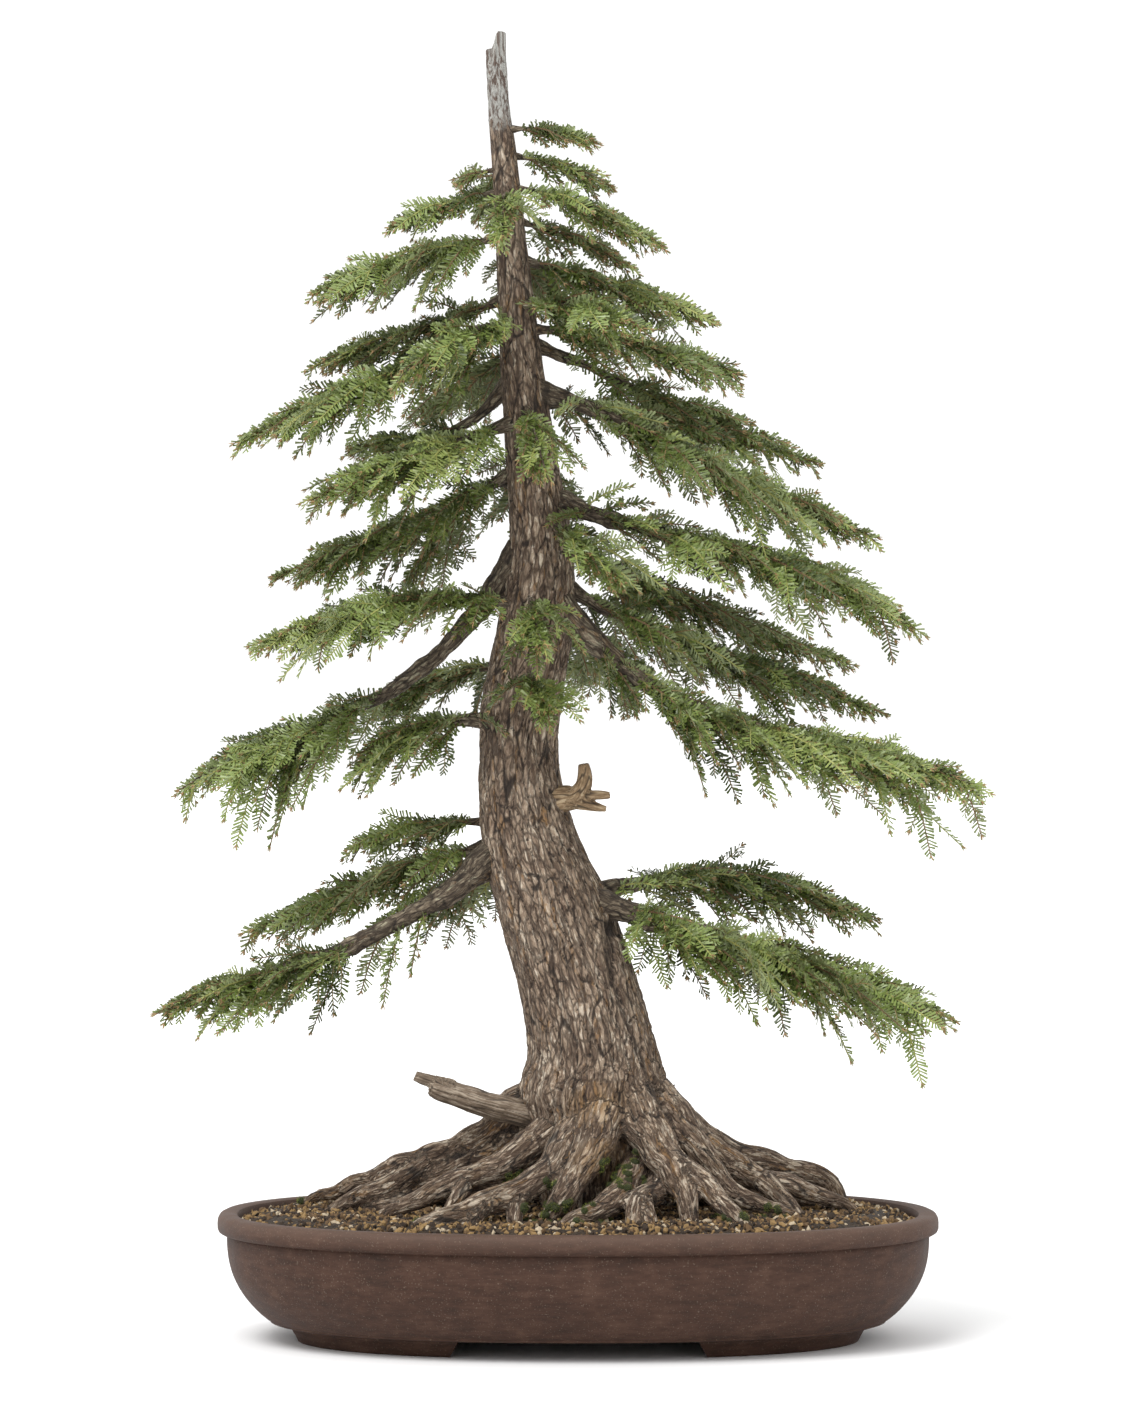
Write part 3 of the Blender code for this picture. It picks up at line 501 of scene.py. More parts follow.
grain = bmesh.new()
bmesh.ops.create_icosphere(grain, subdivisions=1, radius=1.0)
grain_points, grain_faces = shape_arrays(grain)
grain_shares = [share for _, _, share in GRAIN_COLOURS]
rule = random.Random("grit")
grains = []
steps_x = int((POT_HALF_LENGTH - LIP_WIDTH) / GRAIN_PITCH)
steps_y = int((POT_HALF_DEPTH - LIP_WIDTH) / GRAIN_PITCH)
for i in range(-steps_x, steps_x + 1):
    for j in range(-steps_y, steps_y + 1):
        x = (i + rule.uniform(-0.5, 0.5)) * GRAIN_PITCH
        y = (j + rule.uniform(-0.5, 0.5)) * GRAIN_PITCH
        radius = rule.uniform(*GRAIN_RADIUS)
        if across_pot(x, y, LIP_WIDTH + radius) > 1.0:
            continue
        heap = HEAP * noise.noise(Vector((x, y, 0.0)) / HEAP_WIDTH)
        centre = np.array((x, y, soil_height(x, y) + heap + rule.uniform(*GRAIN_STANDS) * radius))
        stretch = [rule.uniform(*span) for span in (GRAIN_THICKNESS, GRAIN_BREADTH, GRAIN_LENGTH)]
        stretch = np.array(stretch) * radius
        rough = 1.0 + GRAIN_ROUGHNESS * np.array([rule.uniform(-1, 1) for _ in grain_points])[:, None]
        points = (grain_points * rough * stretch) @ random_turn(rule).T + centre
        grains.append((points, grain_faces, rule.choices(range(len(GRAIN_COLOURS)), grain_shares)[0]))
grain_finishes = [Finish(name, colour, 0.92) for name, colour, _ in GRAIN_COLOURS]
put("grit", joined("grit", grains), grain_finishes, "soil")

# The trunk: one old stem that leans and curves, spreads into surface roots and ends in a dead,
# silvered and broken leader. The bark is thick and flaking, in long plates that follow the grain.
# Trunk, roots and the collars of the larger boughs are one living form, so they are one skin.
TRUNK_LINE = (
    (0.085, 0.0160, 0.012, 0.0420),
    (0.125, 0.0160, 0.008, 0.0450),
    (0.160, 0.0140, 0.002, 0.0530),
    (0.186, 0.0122, 0.000, 0.0570),
    (0.212, 0.0120, 0.001, 0.0500),
    (0.254, 0.0038, 0.003, 0.0467),
    (0.329, -0.0196, 0.008, 0.0437),
    (0.367, -0.0335, 0.010, 0.0388),
    (0.405, -0.0425, 0.012, 0.0335),
    (0.442, -0.0452, 0.013, 0.0302),
    (0.480, -0.0425, 0.013, 0.0312),
    (0.520, -0.0354, 0.012, 0.0294),
    (0.560, -0.0303, 0.010, 0.0276),
    (0.600, -0.0288, 0.007, 0.0236),
    (0.668, -0.0358, 0.002, 0.0192),
    (0.743, -0.0433, -0.003, 0.0156),
    (0.819, -0.0497, -0.006, 0.0120),
    (0.894, -0.0560, -0.008, 0.0096),
    (0.924, -0.0594, -0.008, 0.0084),
    (0.990, -0.0630, -0.008, 0.0075),
)
TRUNK_SIDES = 40
TRUNK_STEP = 0.010
TRUNK_SINK = 0.006
TRUNK_TWIST = 1.1
BREAK_HIGH = 0.9820
BREAK_LOW = 0.9690
BREAK_SLANT = (-0.0030, 0.0015)
BREAK_BLEND = (0.9620, 0.9680)

# The surface roots that spread to the front and the sides, from inside the trunk's foot out to
# where each enters the soil: x, y, z and half the thickness, in millimetres. Those behind are
# told by bearing, reach, girth at the trunk, crest height there and how far they turn on the way.
ROOT_LINES = (
    ((-2, 0, 190, 22.5), (-24, 2, 178, 19.5), (-48, 4, 169, 16.5), (-68, 8, 152, 13),
     (-89, 12, 143, 10), (-112, 14, 135, 10), (-134, 18, 127, 9), (-157, 22, 117, 7.5),
     (-180, 28, 109, 6), (-202, 34, 102, 4.5), (-220, 40, 91, 3)),
    ((-113, 10, 131, 9), (-134, 8, 117, 9), (-155, 6, 110, 8.5), (-175, 2, 102, 7),
     (-194, -2, 91, 4)),
    ((9, -10, 188, 21), (-12, -24, 167, 17), (-31, -33, 149, 12.5), (-49, -40, 137, 11),
     (-69, -44, 127, 11), (-89, -47, 122, 9.5), (-107, -49, 113, 9), (-125, -51, 105, 6.5),
     (-146, -54, 95, 4.5)),
    ((-83, -53, 118, 7.5), (-92, -66, 107, 6), (-98, -74, 95, 4.5)),
    ((11, -16, 180, 21), (3, -36, 165, 16.5), (-11, -56, 147, 13.5), (-27, -70, 128, 10.5),
     (-48, -84, 114, 9.5), (-70, -96, 107, 9.5), (-92, -106, 100, 9), (-115, -118, 94, 6),
     (-127, -122, 88, 3.5)),
    ((-40, -80, 118, 6.5), (-46, -90, 105, 6.5), (-48, -97, 93, 6)),
    ((-69, -96, 107, 7.5), (-79, -106, 97, 6.5), (-84, -112, 85, 6)),
    ((21, -10, 196, 22.5), (18, -34, 178, 20), (14, -54, 160, 17), (8, -66, 143, 14),
     (-2, -76, 125, 12), (-13, -84, 110, 9.5), (-22, -89, 98, 6.5)),
    ((44, -36, 136, 9.5), (36, -62, 121, 10.5), (26, -84, 111, 11), (11, -102, 103, 7.5),
     (-6, -114, 98, 6), (-17, -124, 89, 4.5)),
    ((67, -36, 138, 10.5), (59, -66, 118, 9), (46, -88, 110, 9.5), (40, -100, 98, 7.5),
     (37, -106, 86, 5)),
    ((48, -88, 110, 7.5), (52, -102, 98, 6.5), (57, -108, 85, 4.5)),
    ((30, -8, 196, 22.5), (42, -30, 178, 20), (51, -48, 160, 17), (63, -64, 143, 15),
     (76, -78, 126, 12), (81, -90, 109, 9), (83, -100, 87, 6.5)),
    ((76, -72, 133, 11), (90, -80, 123, 10.5), (102, -88, 114, 9), (114, -98, 102, 7.5),
     (131, -110, 85, 4.5)),
    ((32, 0, 195, 22.5), (60, -16, 178, 18), (80, -34, 157, 13.5), (96, -44, 137, 9.5),
     (112, -50, 118, 8), (130, -52, 106, 7.5), (152, -50, 100, 6), (176, -48, 90, 3.5)),
    ((33, 4, 192, 22.5), (62, 0, 171, 19), (89, -4, 147, 15), (115, -6, 128, 12),
     (139, -6, 120, 9), (160, -6, 113, 8.5), (179, -4, 106, 7), (197, -2, 100, 5.5), (217, 2, 90, 3)),
    ((138, -14, 119, 9), (151, -26, 110, 8), (162, -34, 100, 6), (172, -38, 90, 3.5)),
    ((39, 12, 191, 21), (68, 18, 165, 16.5), (93, 22, 148, 13), (121, 28, 134, 11.5),
     (150, 34, 126, 10), (173, 40, 120, 9.5), (191, 46, 111, 8), (204, 52, 97, 5.5),
     (214, 56, 85, 3)),
)
Root = namedtuple("Root", "bearing reach radius crest sweep")
ROOTS = (
    Root(19, 0.196, 0.0260, 0.157, -4),
    Root(50, 0.150, 0.0180, 0.168, 5),
    Root(84, 0.124, 0.0190, 0.168, -6),
    Root(116, 0.136, 0.0180, 0.168, 6),
    Root(143, 0.176, 0.0170, 0.168, -5),
    Root(165, 0.206, 0.0260, 0.157, 4),
)
ROOT_SIDES = 16
ROOT_STEP = 0.005
ROOT_STATIONS = 30
ROOT_START = 0.022
ROOT_SLOPE = 0.85
ROOT_TIP_RADIUS = 0.0035
ROOT_WANDER = 0.0036
ROOT_KNOBS = 0.16
ROOT_WAVE = 0.022
FORK_FROM = 0.52
FORKS_BEYOND = 0.14
FORK_ANGLE = 15
FORK_GIRTH = 0.72
FORK_REACH = 0.90

# One more root on the left lies deeper in the fan and fills the gap between two of those above.
INNER_ROOTS = (
    ((-20, 5, 165, 16), (-51, 8, 148, 13.5), (-83, 10, 132, 10.5), (-115, 12, 117, 8),
     (-150, 18, 102, 6), (-168, 20, 93, 4)),
)
SKIN_VOXEL = 0.0016
SKIN_SPLIT = 0.160
CREASES_BELOW = 0.192
CREASE_SMOOTHING = 6
OWN_SURFACE = 0.0012
GRAIN_RUN = 0.731


def smooth_value(stations, column, height):
    """A column of the stations at that height, on a smooth curve through them."""
    heights = [s[0] for s in stations]
    if height <= heights[0]:
        return stations[0][column]
    if height >= heights[-1]:
        return stations[-1][column]
    i = max(k for k in range(len(heights) - 1) if heights[k] <= height)
    before, after = max(i - 1, 0), min(i + 2, len(heights) - 1)
    span = heights[i + 1] - heights[i]
    slope_in = (stations[i + 1][column] - stations[before][column]) / (heights[i + 1] - heights[before])
    slope_out = (stations[after][column] - stations[i][column]) / (heights[after] - heights[i])
    t = (height - heights[i]) / span
    return (
        (2 * t**3 - 3 * t**2 + 1) * stations[i][column]
        + (t**3 - 2 * t**2 + t) * span * slope_in
        + (3 * t**2 - 2 * t**3) * stations[i + 1][column]
        + (t**3 - t**2) * span * slope_out
    )


def trunk_centre(height):
    return Vector((smooth_value(TRUNK_LINE, 1, height), smooth_value(TRUNK_LINE, 2, height), height))


def trunk_radius(height):
    return smooth_value(TRUNK_LINE, 3, height)


def heading(bearing):
    """The level direction of that bearing: 0 right, 90 back, 180 left, 270 front."""
    return Vector((math.cos(math.radians(bearing)), math.sin(math.radians(bearing)), 0.0))


TRUNK_FOOT = Vector((TRUNK_LINE[0][1], TRUNK_LINE[0][2], GROUND))


def ring_frames(points, radii, twist=0.0, level=False):
    """A matrix for each ring of a limb: its centre, its girth and the way that it faces."""
    frames, side, way_back = [], None, 0.0
    for i, (point, radius) in enumerate(zip(points, radii)):
        along = (points[min(i + 1, len(points) - 1)] - points[max(i - 1, 0)]).normalized()
        if level:
            along = Vector((0.0, 0.0, 1.0))
        if side is None:
            side = along.cross(Vector((0, 0, 1)) if abs(along.z) < 0.9 else Vector((1, 0, 0)))
        side = (side - along * side.dot(along)).normalized()
        step = (point - points[max(i - 1, 0)]).length
        way_back += step
        side = Matrix.Rotation(twist * step, 3, along) @ side
        other = along.cross(side)
        turned = Matrix((side * radius, other * radius, along * radius)).transposed().to_4x4()
        turned.translation = point
        frames.append((turned, way_back))
    return frames


def grow_limb(bm, frames, sides):
    """A closed round limb: a circle carried from ring to ring by extruding it."""
    ring = list(bmesh.ops.create_circle(bm, segments=sides, radius=1.0)["verts"])
    first = ring
    bmesh.ops.transform(bm, matrix=frames[0][0], verts=ring)
    rings = [ring]
    for (before, _), (after, _) in zip(frames, frames[1:]):
        ring = next_ring(bm, ring)
        bmesh.ops.transform(bm, matrix=after @ before.inverted(), verts=ring)
        rings.append(ring)
    for end in (first, ring):
        bmesh.ops.contextual_create(bm, geom=end)
    return rings


def fine_line(points, radii, step):
    """The same line with a station about every step."""
    points = [Vector(p) for p in points]
    made, girths = [], []
    for n in range(len(points) - 1):
        count = max(1, round((points[n + 1] - points[n]).length / step))
        before, after = points[max(n - 1, 0)], points[min(n + 2, len(points) - 1)]
        for k in range(count):
            t = k / count
            bend = t * (1 - t) * (1 - t) * (points[n + 1] - before) / 2
            bend -= t * t * (1 - t) * (after - points[n]) / 2
            ease = t * t * (3 - 2 * t)
            made.append(points[n].lerp(points[n + 1], ease) + bend)
            girths.append(radii[n] + (radii[n + 1] - radii[n]) * t)
    return made + [points[-1]], girths + [radii[-1]]


def front_root_line(line, seed):
    """Centre points and radii of a surface root through the places given for it."""
    points, radii = fine_line([Vector(p[:3]) / 1000 for p in line], [p[3] / 1000 for p in line], ROOT_STEP)
    way = 0.0
    for k, point in enumerate(points):
        way += (point - points[k - 1]).length if k else 0.0
        lumps = [noise.noise(Vector((way / ROOT_WAVE, seed, 1.7 * n))) for n in range(4)]
        radii[k] *= 1.0 + ROOT_KNOBS * lumps[0]
        points[k] = point + Vector(lumps[1:]) * ROOT_WANDER * min(1.0, way / 0.04)
    return points, radii


def root_line(root, seed):
    """Centre points and radii of a surface root from inside the trunk's foot to its tip."""
    points, radii = [], []
    for k in range(ROOT_STATIONS):
        t = k / (ROOT_STATIONS - 1)
        out = ROOT_START + (root.reach - ROOT_START) * t
        knob = 1.0 + ROOT_KNOBS * noise.noise(Vector((t * 9.0, seed, 1.5)))
        radius = (ROOT_TIP_RADIUS + (root.radius - ROOT_TIP_RADIUS) * (1 - t) ** 0.8) * knob
        rise = (root.crest - root.radius - GROUND) * (1 - t) ** ROOT_SLOPE
        bearing = root.bearing + root.sweep * math.sin(2.5 * t)
        aside = ROOT_WANDER * noise.noise(Vector((t * 6.0, seed, 7.5))) * min(1.0, 3 * t)
        place = TRUNK_FOOT + heading(bearing) * out + heading(bearing + 90) * aside
        rise += 0.4 * ROOT_WANDER * noise.noise(Vector((t * 7.0, seed, 4.5))) * min(1.0, 3 * t)
        points.append(Vector((place.x, place.y, GROUND + rise - radius * 0.5 * t)))
        radii.append(radius)
    return points, radii


def fork_line(root, turn, seed):
    """A branch of a root, which leaves it half way out."""
    stem, girths = root_line(root, seed)
    branch = root._replace(bearing=root.bearing + turn, reach=root.reach * FORK_REACH)
    points, radii = root_line(branch, seed + 0.5)
    first = round(FORK_FROM * (ROOT_STATIONS - 1))
    for k in range(first, ROOT_STATIONS):
        away = (k - first) / (ROOT_STATIONS - 1 - first)
        points[k] = stem[k].lerp(points[k], min(1.0, away * 1.8))
        radii[k] = girths[k] * FORK_GIRTH
    return points[first:], radii[first:]


# The boughs, in the order that they were grown in: where each leaves the trunk, which way it
# goes, how it rises and hangs, what share of it is bare wood, its girth at the trunk, its longest
# side twig, and how steeply its side twigs hang.
Bough = namedtuple("Bough", "name height bearing sweep reach drop dip rise bare radius spread weep")
BOUGHS = (
    Bough("right_01", 0.907, 340, 6, 0.076, -0.011, -0.004, 0.002, 0.00, 0.0026, 0.032, 0.87),
    Bough("right_02", 0.890, 12, 6, 0.090, -0.025, -0.002, 0.002, 0.00, 0.0028, 0.034, 0.72),
    Bough("right_03", 0.864, 350, 8, 0.121, -0.046, -0.006, 0.005, 0.00, 0.0032, 0.042, 0.72),
    Bough("right_04", 0.842, 34, -6, 0.111, -0.035, -0.002, 0.002, 0.00, 0.0032, 0.038, 0.72),
    Bough("right_05", 0.813, 4, 6, 0.161, -0.050, -0.000, 0.004, 0.00, 0.0040, 0.050, 0.80),
    Bough("right_06", 0.776, 306, 10, 0.136, -0.025, -0.003, 0.008, 0.00, 0.0038, 0.050, 1.01),
    Bough("right_07", 0.759, 350, 6, 0.173, -0.037, -0.005, 0.004, 0.00, 0.0044, 0.056, 0.87),
    Bough("right_08", 0.751, 32, -8, 0.199, -0.059, -0.001, -0.007, 0.36, 0.0062, 0.052, 0.87),
    Bough("right_09", 0.715, 348, 8, 0.270, -0.115, -0.007, -0.004, 0.24, 0.0086, 0.066, 0.75),
    Bough("right_10", 0.702, 30, -8, 0.248, -0.042, -0.009, 0.006, 0.00, 0.0050, 0.058, 0.75),
    Bough("right_11", 0.638, 352, 2, 0.298, -0.114, 0.006, 0.020, 0.24, 0.0092, 0.074, 0.70),
    Bough("right_12", 0.602, 34, -8, 0.276, -0.097, 0.001, -0.001, 0.00, 0.0056, 0.058, 0.87),
    Bough("right_13", 0.578, 12, 0, 0.274, -0.112, 0.011, 0.003, 0.00, 0.0064, 0.060, 0.87),
    Bough("right_14", 0.573, 344, 2, 0.349, -0.165, 0.045, 0.004, 0.22, 0.0110, 0.082, 1.00),
    Bough("right_15", 0.320, 24, -8, 0.261, -0.013, -0.018, 0.020, 0.22, 0.0080, 0.062, 0.55),
    Bough("right_16", 0.337, 344, 6, 0.313, -0.099, -0.001, 0.008, 0.20, 0.0125, 0.082, 0.80),
    Bough("left_16", 0.879, 196, -8, 0.039, -0.015, -0.001, 0.004, 0.00, 0.0024, 0.024, 0.35),
    Bough("left_01", 0.863, 182, -6, 0.093, -0.030, -0.002, 0.003, 0.00, 0.0028, 0.038, 0.87),
    Bough("left_02", 0.829, 190, -4, 0.154, -0.046, -0.002, 0.003, 0.00, 0.0038, 0.056, 1.15),
    Bough("left_03", 0.786, 168, 6, 0.159, -0.056, 0.003, 0.001, 0.00, 0.0042, 0.054, 0.85),
    Bough("left_04", 0.767, 240, -24, 0.119, -0.062, -0.004, 0.016, 0.00, 0.0040, 0.052, 1.16),
    Bough("left_05", 0.759, 192, -4, 0.219, -0.090, -0.002, 0.004, 0.00, 0.0052, 0.064, 0.94),
    Bough("left_06", 0.735, 158, 4, 0.141, -0.065, 0.025, -0.003, 0.30, 0.0064, 0.046, 0.72),
    Bough("left_07", 0.692, 214, -12, 0.176, -0.066, -0.002, 0.004, 0.00, 0.0056, 0.066, 1.01),
    Bough("left_08", 0.660, 166, 8, 0.201, -0.088, 0.004, -0.003, 0.00, 0.0050, 0.060, 0.87),
    Bough("left_09", 0.622, 146, 6, 0.119, -0.061, -0.036, 0.012, 0.50, 0.0062, 0.052, 1.01),
    Bough("left_10", 0.544, 212, -12, 0.230, -0.026, -0.017, 0.008, 0.00, 0.0056, 0.066, 1.09),
    Bough("left_11", 0.617, 174, 6, 0.277, -0.212, 0.047, 0.001, 0.40, 0.0110, 0.086, 1.00),
    Bough("left_12", 0.456, 206, -20, 0.128, -0.033, -0.013, 0.014, 0.30, 0.0070, 0.056, 0.90),
    Bough("left_13", 0.385, 152, 4, 0.151, -0.020, -0.005, 0.007, 0.00, 0.0046, 0.050, 0.65),
    Bough("left_14", 0.379, 160, 0, 0.239, -0.081, -0.003, 0.004, 0.00, 0.0056, 0.062, 0.65),
    Bough("left_15", 0.389, 192, -3, 0.285, -0.146, 0.025, -0.004, 0.44, 0.0120, 0.072, 0.70),
    Bough("front_01", 0.856, 262, 6, 0.076, -0.036, -0.010, 0.002, 0.00, 0.0028, 0.038, 0.80),
    Bough("front_02", 0.696, 272, 8, 0.090, -0.050, -0.012, 0.004, 0.00, 0.0032, 0.046, 0.85),
    Bough("front_03", 0.610, 304, 8, 0.100, -0.046, -0.010, 0.004, 0.00, 0.0034, 0.048, 0.80),
    Bough("front_04", 0.552, 258, 16, 0.102, -0.034, -0.010, 0.004, 0.00, 0.0034, 0.050, 0.85),
    Bough("front_05", 0.496, 274, 10, 0.084, -0.026, -0.012, 0.002, 0.00, 0.0032, 0.046, 0.80),
    Bough("back_01", 0.876, 94, 10, 0.098, -0.028, -0.006, 0.004, 0.00, 0.0028, 0.040, 0.70),
    Bough("back_02", 0.812, 80, -8, 0.140, -0.040, -0.006, 0.004, 0.00, 0.0036, 0.050, 0.75),
    Bough("back_03", 0.742, 110, 8, 0.166, -0.050, -0.006, 0.004, 0.00, 0.0044, 0.056, 0.75),
    Bough("back_04", 0.664, 94, -8, 0.182, -0.060, -0.006, 0.004, 0.00, 0.0048, 0.060, 0.75),
    Bough("back_05", 0.560, 58, 8, 0.186, -0.088, -0.002, 0.006, 0.00, 0.0052, 0.060, 0.75),
    Bough("back_06", 0.506, 132, 8, 0.166, -0.036, -0.006, 0.006, 0.00, 0.0052, 0.054, 0.65),
    Bough("back_07", 0.366, 112, 24, 0.190, -0.070, -0.004, 0.006, 0.00, 0.0052, 0.056, 0.85),
)
STEM_TIP_RADIUS = 0.0010
LIMB_TAPER = 0.75


def bough_point(bough, t):
    """A point on the bough's line: 0 at the middle of the trunk, 1 at its tip."""
    level = heading(bough.bearing + bough.sweep * t) * bough.reach * t
    fall = bough.drop * t + 6.75 * t * (1 - t) * (bough.rise * t - bough.dip * (1 - t))
    return trunk_centre(bough.height) + level + Vector((0.0, 0.0, fall))


def bough_radius(bough, t):
    return STEM_TIP_RADIUS + (bough.radius - STEM_TIP_RADIUS) * max(0.0, 1 - t) ** LIMB_TAPER


def leaves_trunk_at(bough):
    """The share of the bough's line that lies inside the trunk."""
    return trunk_radius(bough.height) / bough.reach


COLLAR_REACH = 1.30
COLLAR_SWELL = 1.45
COLLAR_SLIMS = 0.42
COLLAR_END = 0.70
COLLAR_RINGS = 10


def skin_limbs():
    """The ring frames of the trunk, its roots and the collars of its larger boughs."""
    low, high = TRUNK_LINE[0][0] - TRUNK_SINK, BREAK_LOW
    count = round((high - low) / TRUNK_STEP) + 1
    heights = [low + (high - low) * k / (count - 1) for k in range(count)]
    girths = [trunk_radius(z) for z in heights]
    limbs = [(ring_frames([trunk_centre(z) for z in heights], girths, TRUNK_TWIST, True), TRUNK_SIDES)]
    for n, line in enumerate(ROOT_LINES + INNER_ROOTS):
        limbs.append((ring_frames(*front_root_line(line, n + 20.5)), ROOT_SIDES))
    for n, root in enumerate(ROOTS):
        limbs.append((ring_frames(*root_line(root, n)), ROOT_SIDES))
        if root.reach > FORKS_BEYOND:
            limbs.append((ring_frames(*fork_line(root, FORK_ANGLE * (1 if n % 2 else -1), n)), ROOT_SIDES))
    for bough in BOUGHS:
        if bough.bare > 0.0:
            end = leaves_trunk_at(bough) * COLLAR_REACH
            shares = [end * k / (COLLAR_RINGS - 1) for k in range(COLLAR_RINGS)]
            fall = max(0.0, bough_point(bough, 0.0).z - bough_point(bough, end).z)
            swell = max(COLLAR_END, COLLAR_SWELL - COLLAR_SLIMS * fall / bough.radius)
            swells = [swell - (swell - COLLAR_END) * (t / end) ** 3 for t in shares]
            girths = [bough_radius(bough, t) * wider for t, wider in zip(shares, swells)]
            limbs.append((ring_frames([bough_point(bough, t) for t in shares], girths), ROOT_SIDES))
    return limbs


def one_skin(limbs, voxel):
    """A single closed skin round overlapping limbs, with the limbs' own rings for reference."""
    bm = bmesh.new()
    marks, offset = [], 0.0
    for frames, sides in limbs:
        rings = grow_limb(bm, frames, sides)
        for k, (ring, (turned, way)) in enumerate(zip(rings, frames)):
            ahead = sides if k + 1 < len(frames) else 0
            behind = sides if k > 0 else 0
            for vert in ring:
                marks.append((vert.co.copy(), turned, way + offset, len(marks) + ahead, len(marks) - behind))
        offset += GRAIN_RUN
    bmesh.ops.recalc_face_normals(bm, faces=bm.faces)
    piece = put("skin", mesh_of(bm, "skin"), [])
    remesh = piece.modifiers.new("skin", "REMESH")
    remesh.mode = "VOXEL"
    remesh.voxel_size = voxel
    apply_modifiers(piece)
    made = piece.data
    bpy.data.objects.remove(piece)
    return made, marks


def on_trunk(point):
    """Whether the point lies on the trunk's own surface and not on a limb that leaves it."""
    from_middle = Vector(point) - trunk_centre(point[2])
    return from_middle.length < trunk_radius(point[2]) + OWN_SURFACE


def tree_of(marks):
    tree = kdtree.KDTree(len(marks))
    for n, mark in enumerate(marks):
        tree.insert(mark[0], n)
    tree.balance()
    return tree


def numbers_of(items, name, width=3):
    """What each of the mesh's items holds under that name, as an array."""
    values = np.empty(len(items) * width, dtype=np.float32)
    items.foreach_get(name, values)
    return values.reshape(-1, width) if width > 1 else values


def store(mesh, name, values):
    """Stores a number or a place for each point of the mesh, which its finish then reads."""
    kind, field = ("FLOAT_VECTOR", "vector") if values.ndim > 1 else ("FLOAT", "value")
    held = mesh.attributes.new(name, kind, "POINT")
    held.data.foreach_set(field, np.ascontiguousarray(values, dtype=np.float32).ravel())


def along_the_grain(mesh, marks, trunk_marks=0):
    """For each point of the mesh, where it lies in its limb if that were laid out straight."""
    tree, trunk_tree = tree_of(marks), tree_of(marks[:trunk_marks])
    rings = [np.array(mark[1]) for mark in marks]
    centre = np.array([ring[:3, 3] for ring in rings])
    axes = np.array([ring[:3, :3].T for ring in rings])
    girth = np.linalg.norm(axes[:, 0], axis=1)
    axes /= np.linalg.norm(axes, axis=2)[..., None]
    way = np.array([mark[2] for mark in marks])
    after = np.array([mark[3] for mark in marks])
    before = np.array([mark[4] for mark in marks])
    place = numbers_of(mesh.vertices, "co").astype(float)
    near = [(trunk_tree if trunk_marks and on_trunk(point) else tree).find(point)[1] for point in place]
    near = np.array(near)
    beyond = ((place - centre[near]) * axes[near, 2]).sum(axis=1)
    other = np.where(beyond > 0, after[near], before[near])
    span = np.linalg.norm(centre[other] - centre[near], axis=1)
    share = np.clip(np.abs(beyond) / np.maximum(span, 1e-6), 0.0, 1.0)[:, None]
    from_centre = place - (centre[near] * (1 - share) + centre[other] * share)
    turned = axes[near] * (1 - share[..., None]) + axes[other] * share[..., None]
    straight = np.stack(
        [
            (from_centre * turned[:, 0]).sum(axis=1),
            (from_centre * turned[:, 1]).sum(axis=1),
            way[near] * (1 - share[:, 0]) + way[other] * share[:, 0],
        ],
        axis=1,
    )
    girths = girth[near] * (1 - share[:, 0]) + girth[other] * share[:, 0]
    return [Vector(point) for point in straight], list(girths)


def step_up(value, low, high):
    share = min(1.0, max(0.0, (value - low) / (high - low)))
    return share * share * (3 - 2 * share)


# A flute runs down the trunk's right side from a hollow under the lowest bough, both sunk a little and
# painted dark as painted shade in the recess: height, how far right and half the width. The bark is worn
# to golden wood round the hollow and at the foot. The hollow and the golden marks are ovals: how far
# right, height, half the width and half the height.
FLUTE = (
    (0.312, 0.0228, 0.0050),
    (0.292, 0.0243, 0.0060),
    (0.273, 0.0266, 0.0052),
    (0.250, 0.0326, 0.0044),
    (0.231, 0.0409, 0.0042),
    (0.216, 0.0469, 0.0040),
    (0.186, 0.0582, 0.0036),
    (0.168, 0.0690, 0.0030),
)
FLUTE_DEPTH = 0.0030
HOLLOW = (0.0265, 0.3085, 0.0075, 0.0095)
FLUTE_SHARE = 0.75
GOLDEN = (
    (0.0320, 0.3230, 0.0240, 0.0110),
    (0.0140, 0.1800, 0.0300, 0.0200),
    (0.0180, 0.1380, 0.0240, 0.0200),
)
FRONT_DEPTH = 0.010
PLATE = (0.0095, 0.0480)
FLAKE = (0.0046, 0.0150)
RIB = (0.0300, 0.2400)
FIBRE = (0.0030, 0.0200)
GRAIN_WAVES = (0.0160, 0.0340)
GRAIN_BEND = 0.0042
GRAIN_SEED = 3
FISSURE_WIDTH = 0.11
FLAKE_EDGE_WIDTH = 0.20
RIB_HEIGHT = 0.0022
FLAKE_HEIGHT = 0.0009
FIBRE_HEIGHT = 0.0005
FLAKE_EDGE_DEPTH = 0.0006
FISSURE_DEPTH = 0.0016
FULL_BARK_GIRTH = 0.030
THIN_BARK = 0.25


def stretched(place, size):
    return Vector((place.x / size[0], place.y / size[0], place.z / size[1]))


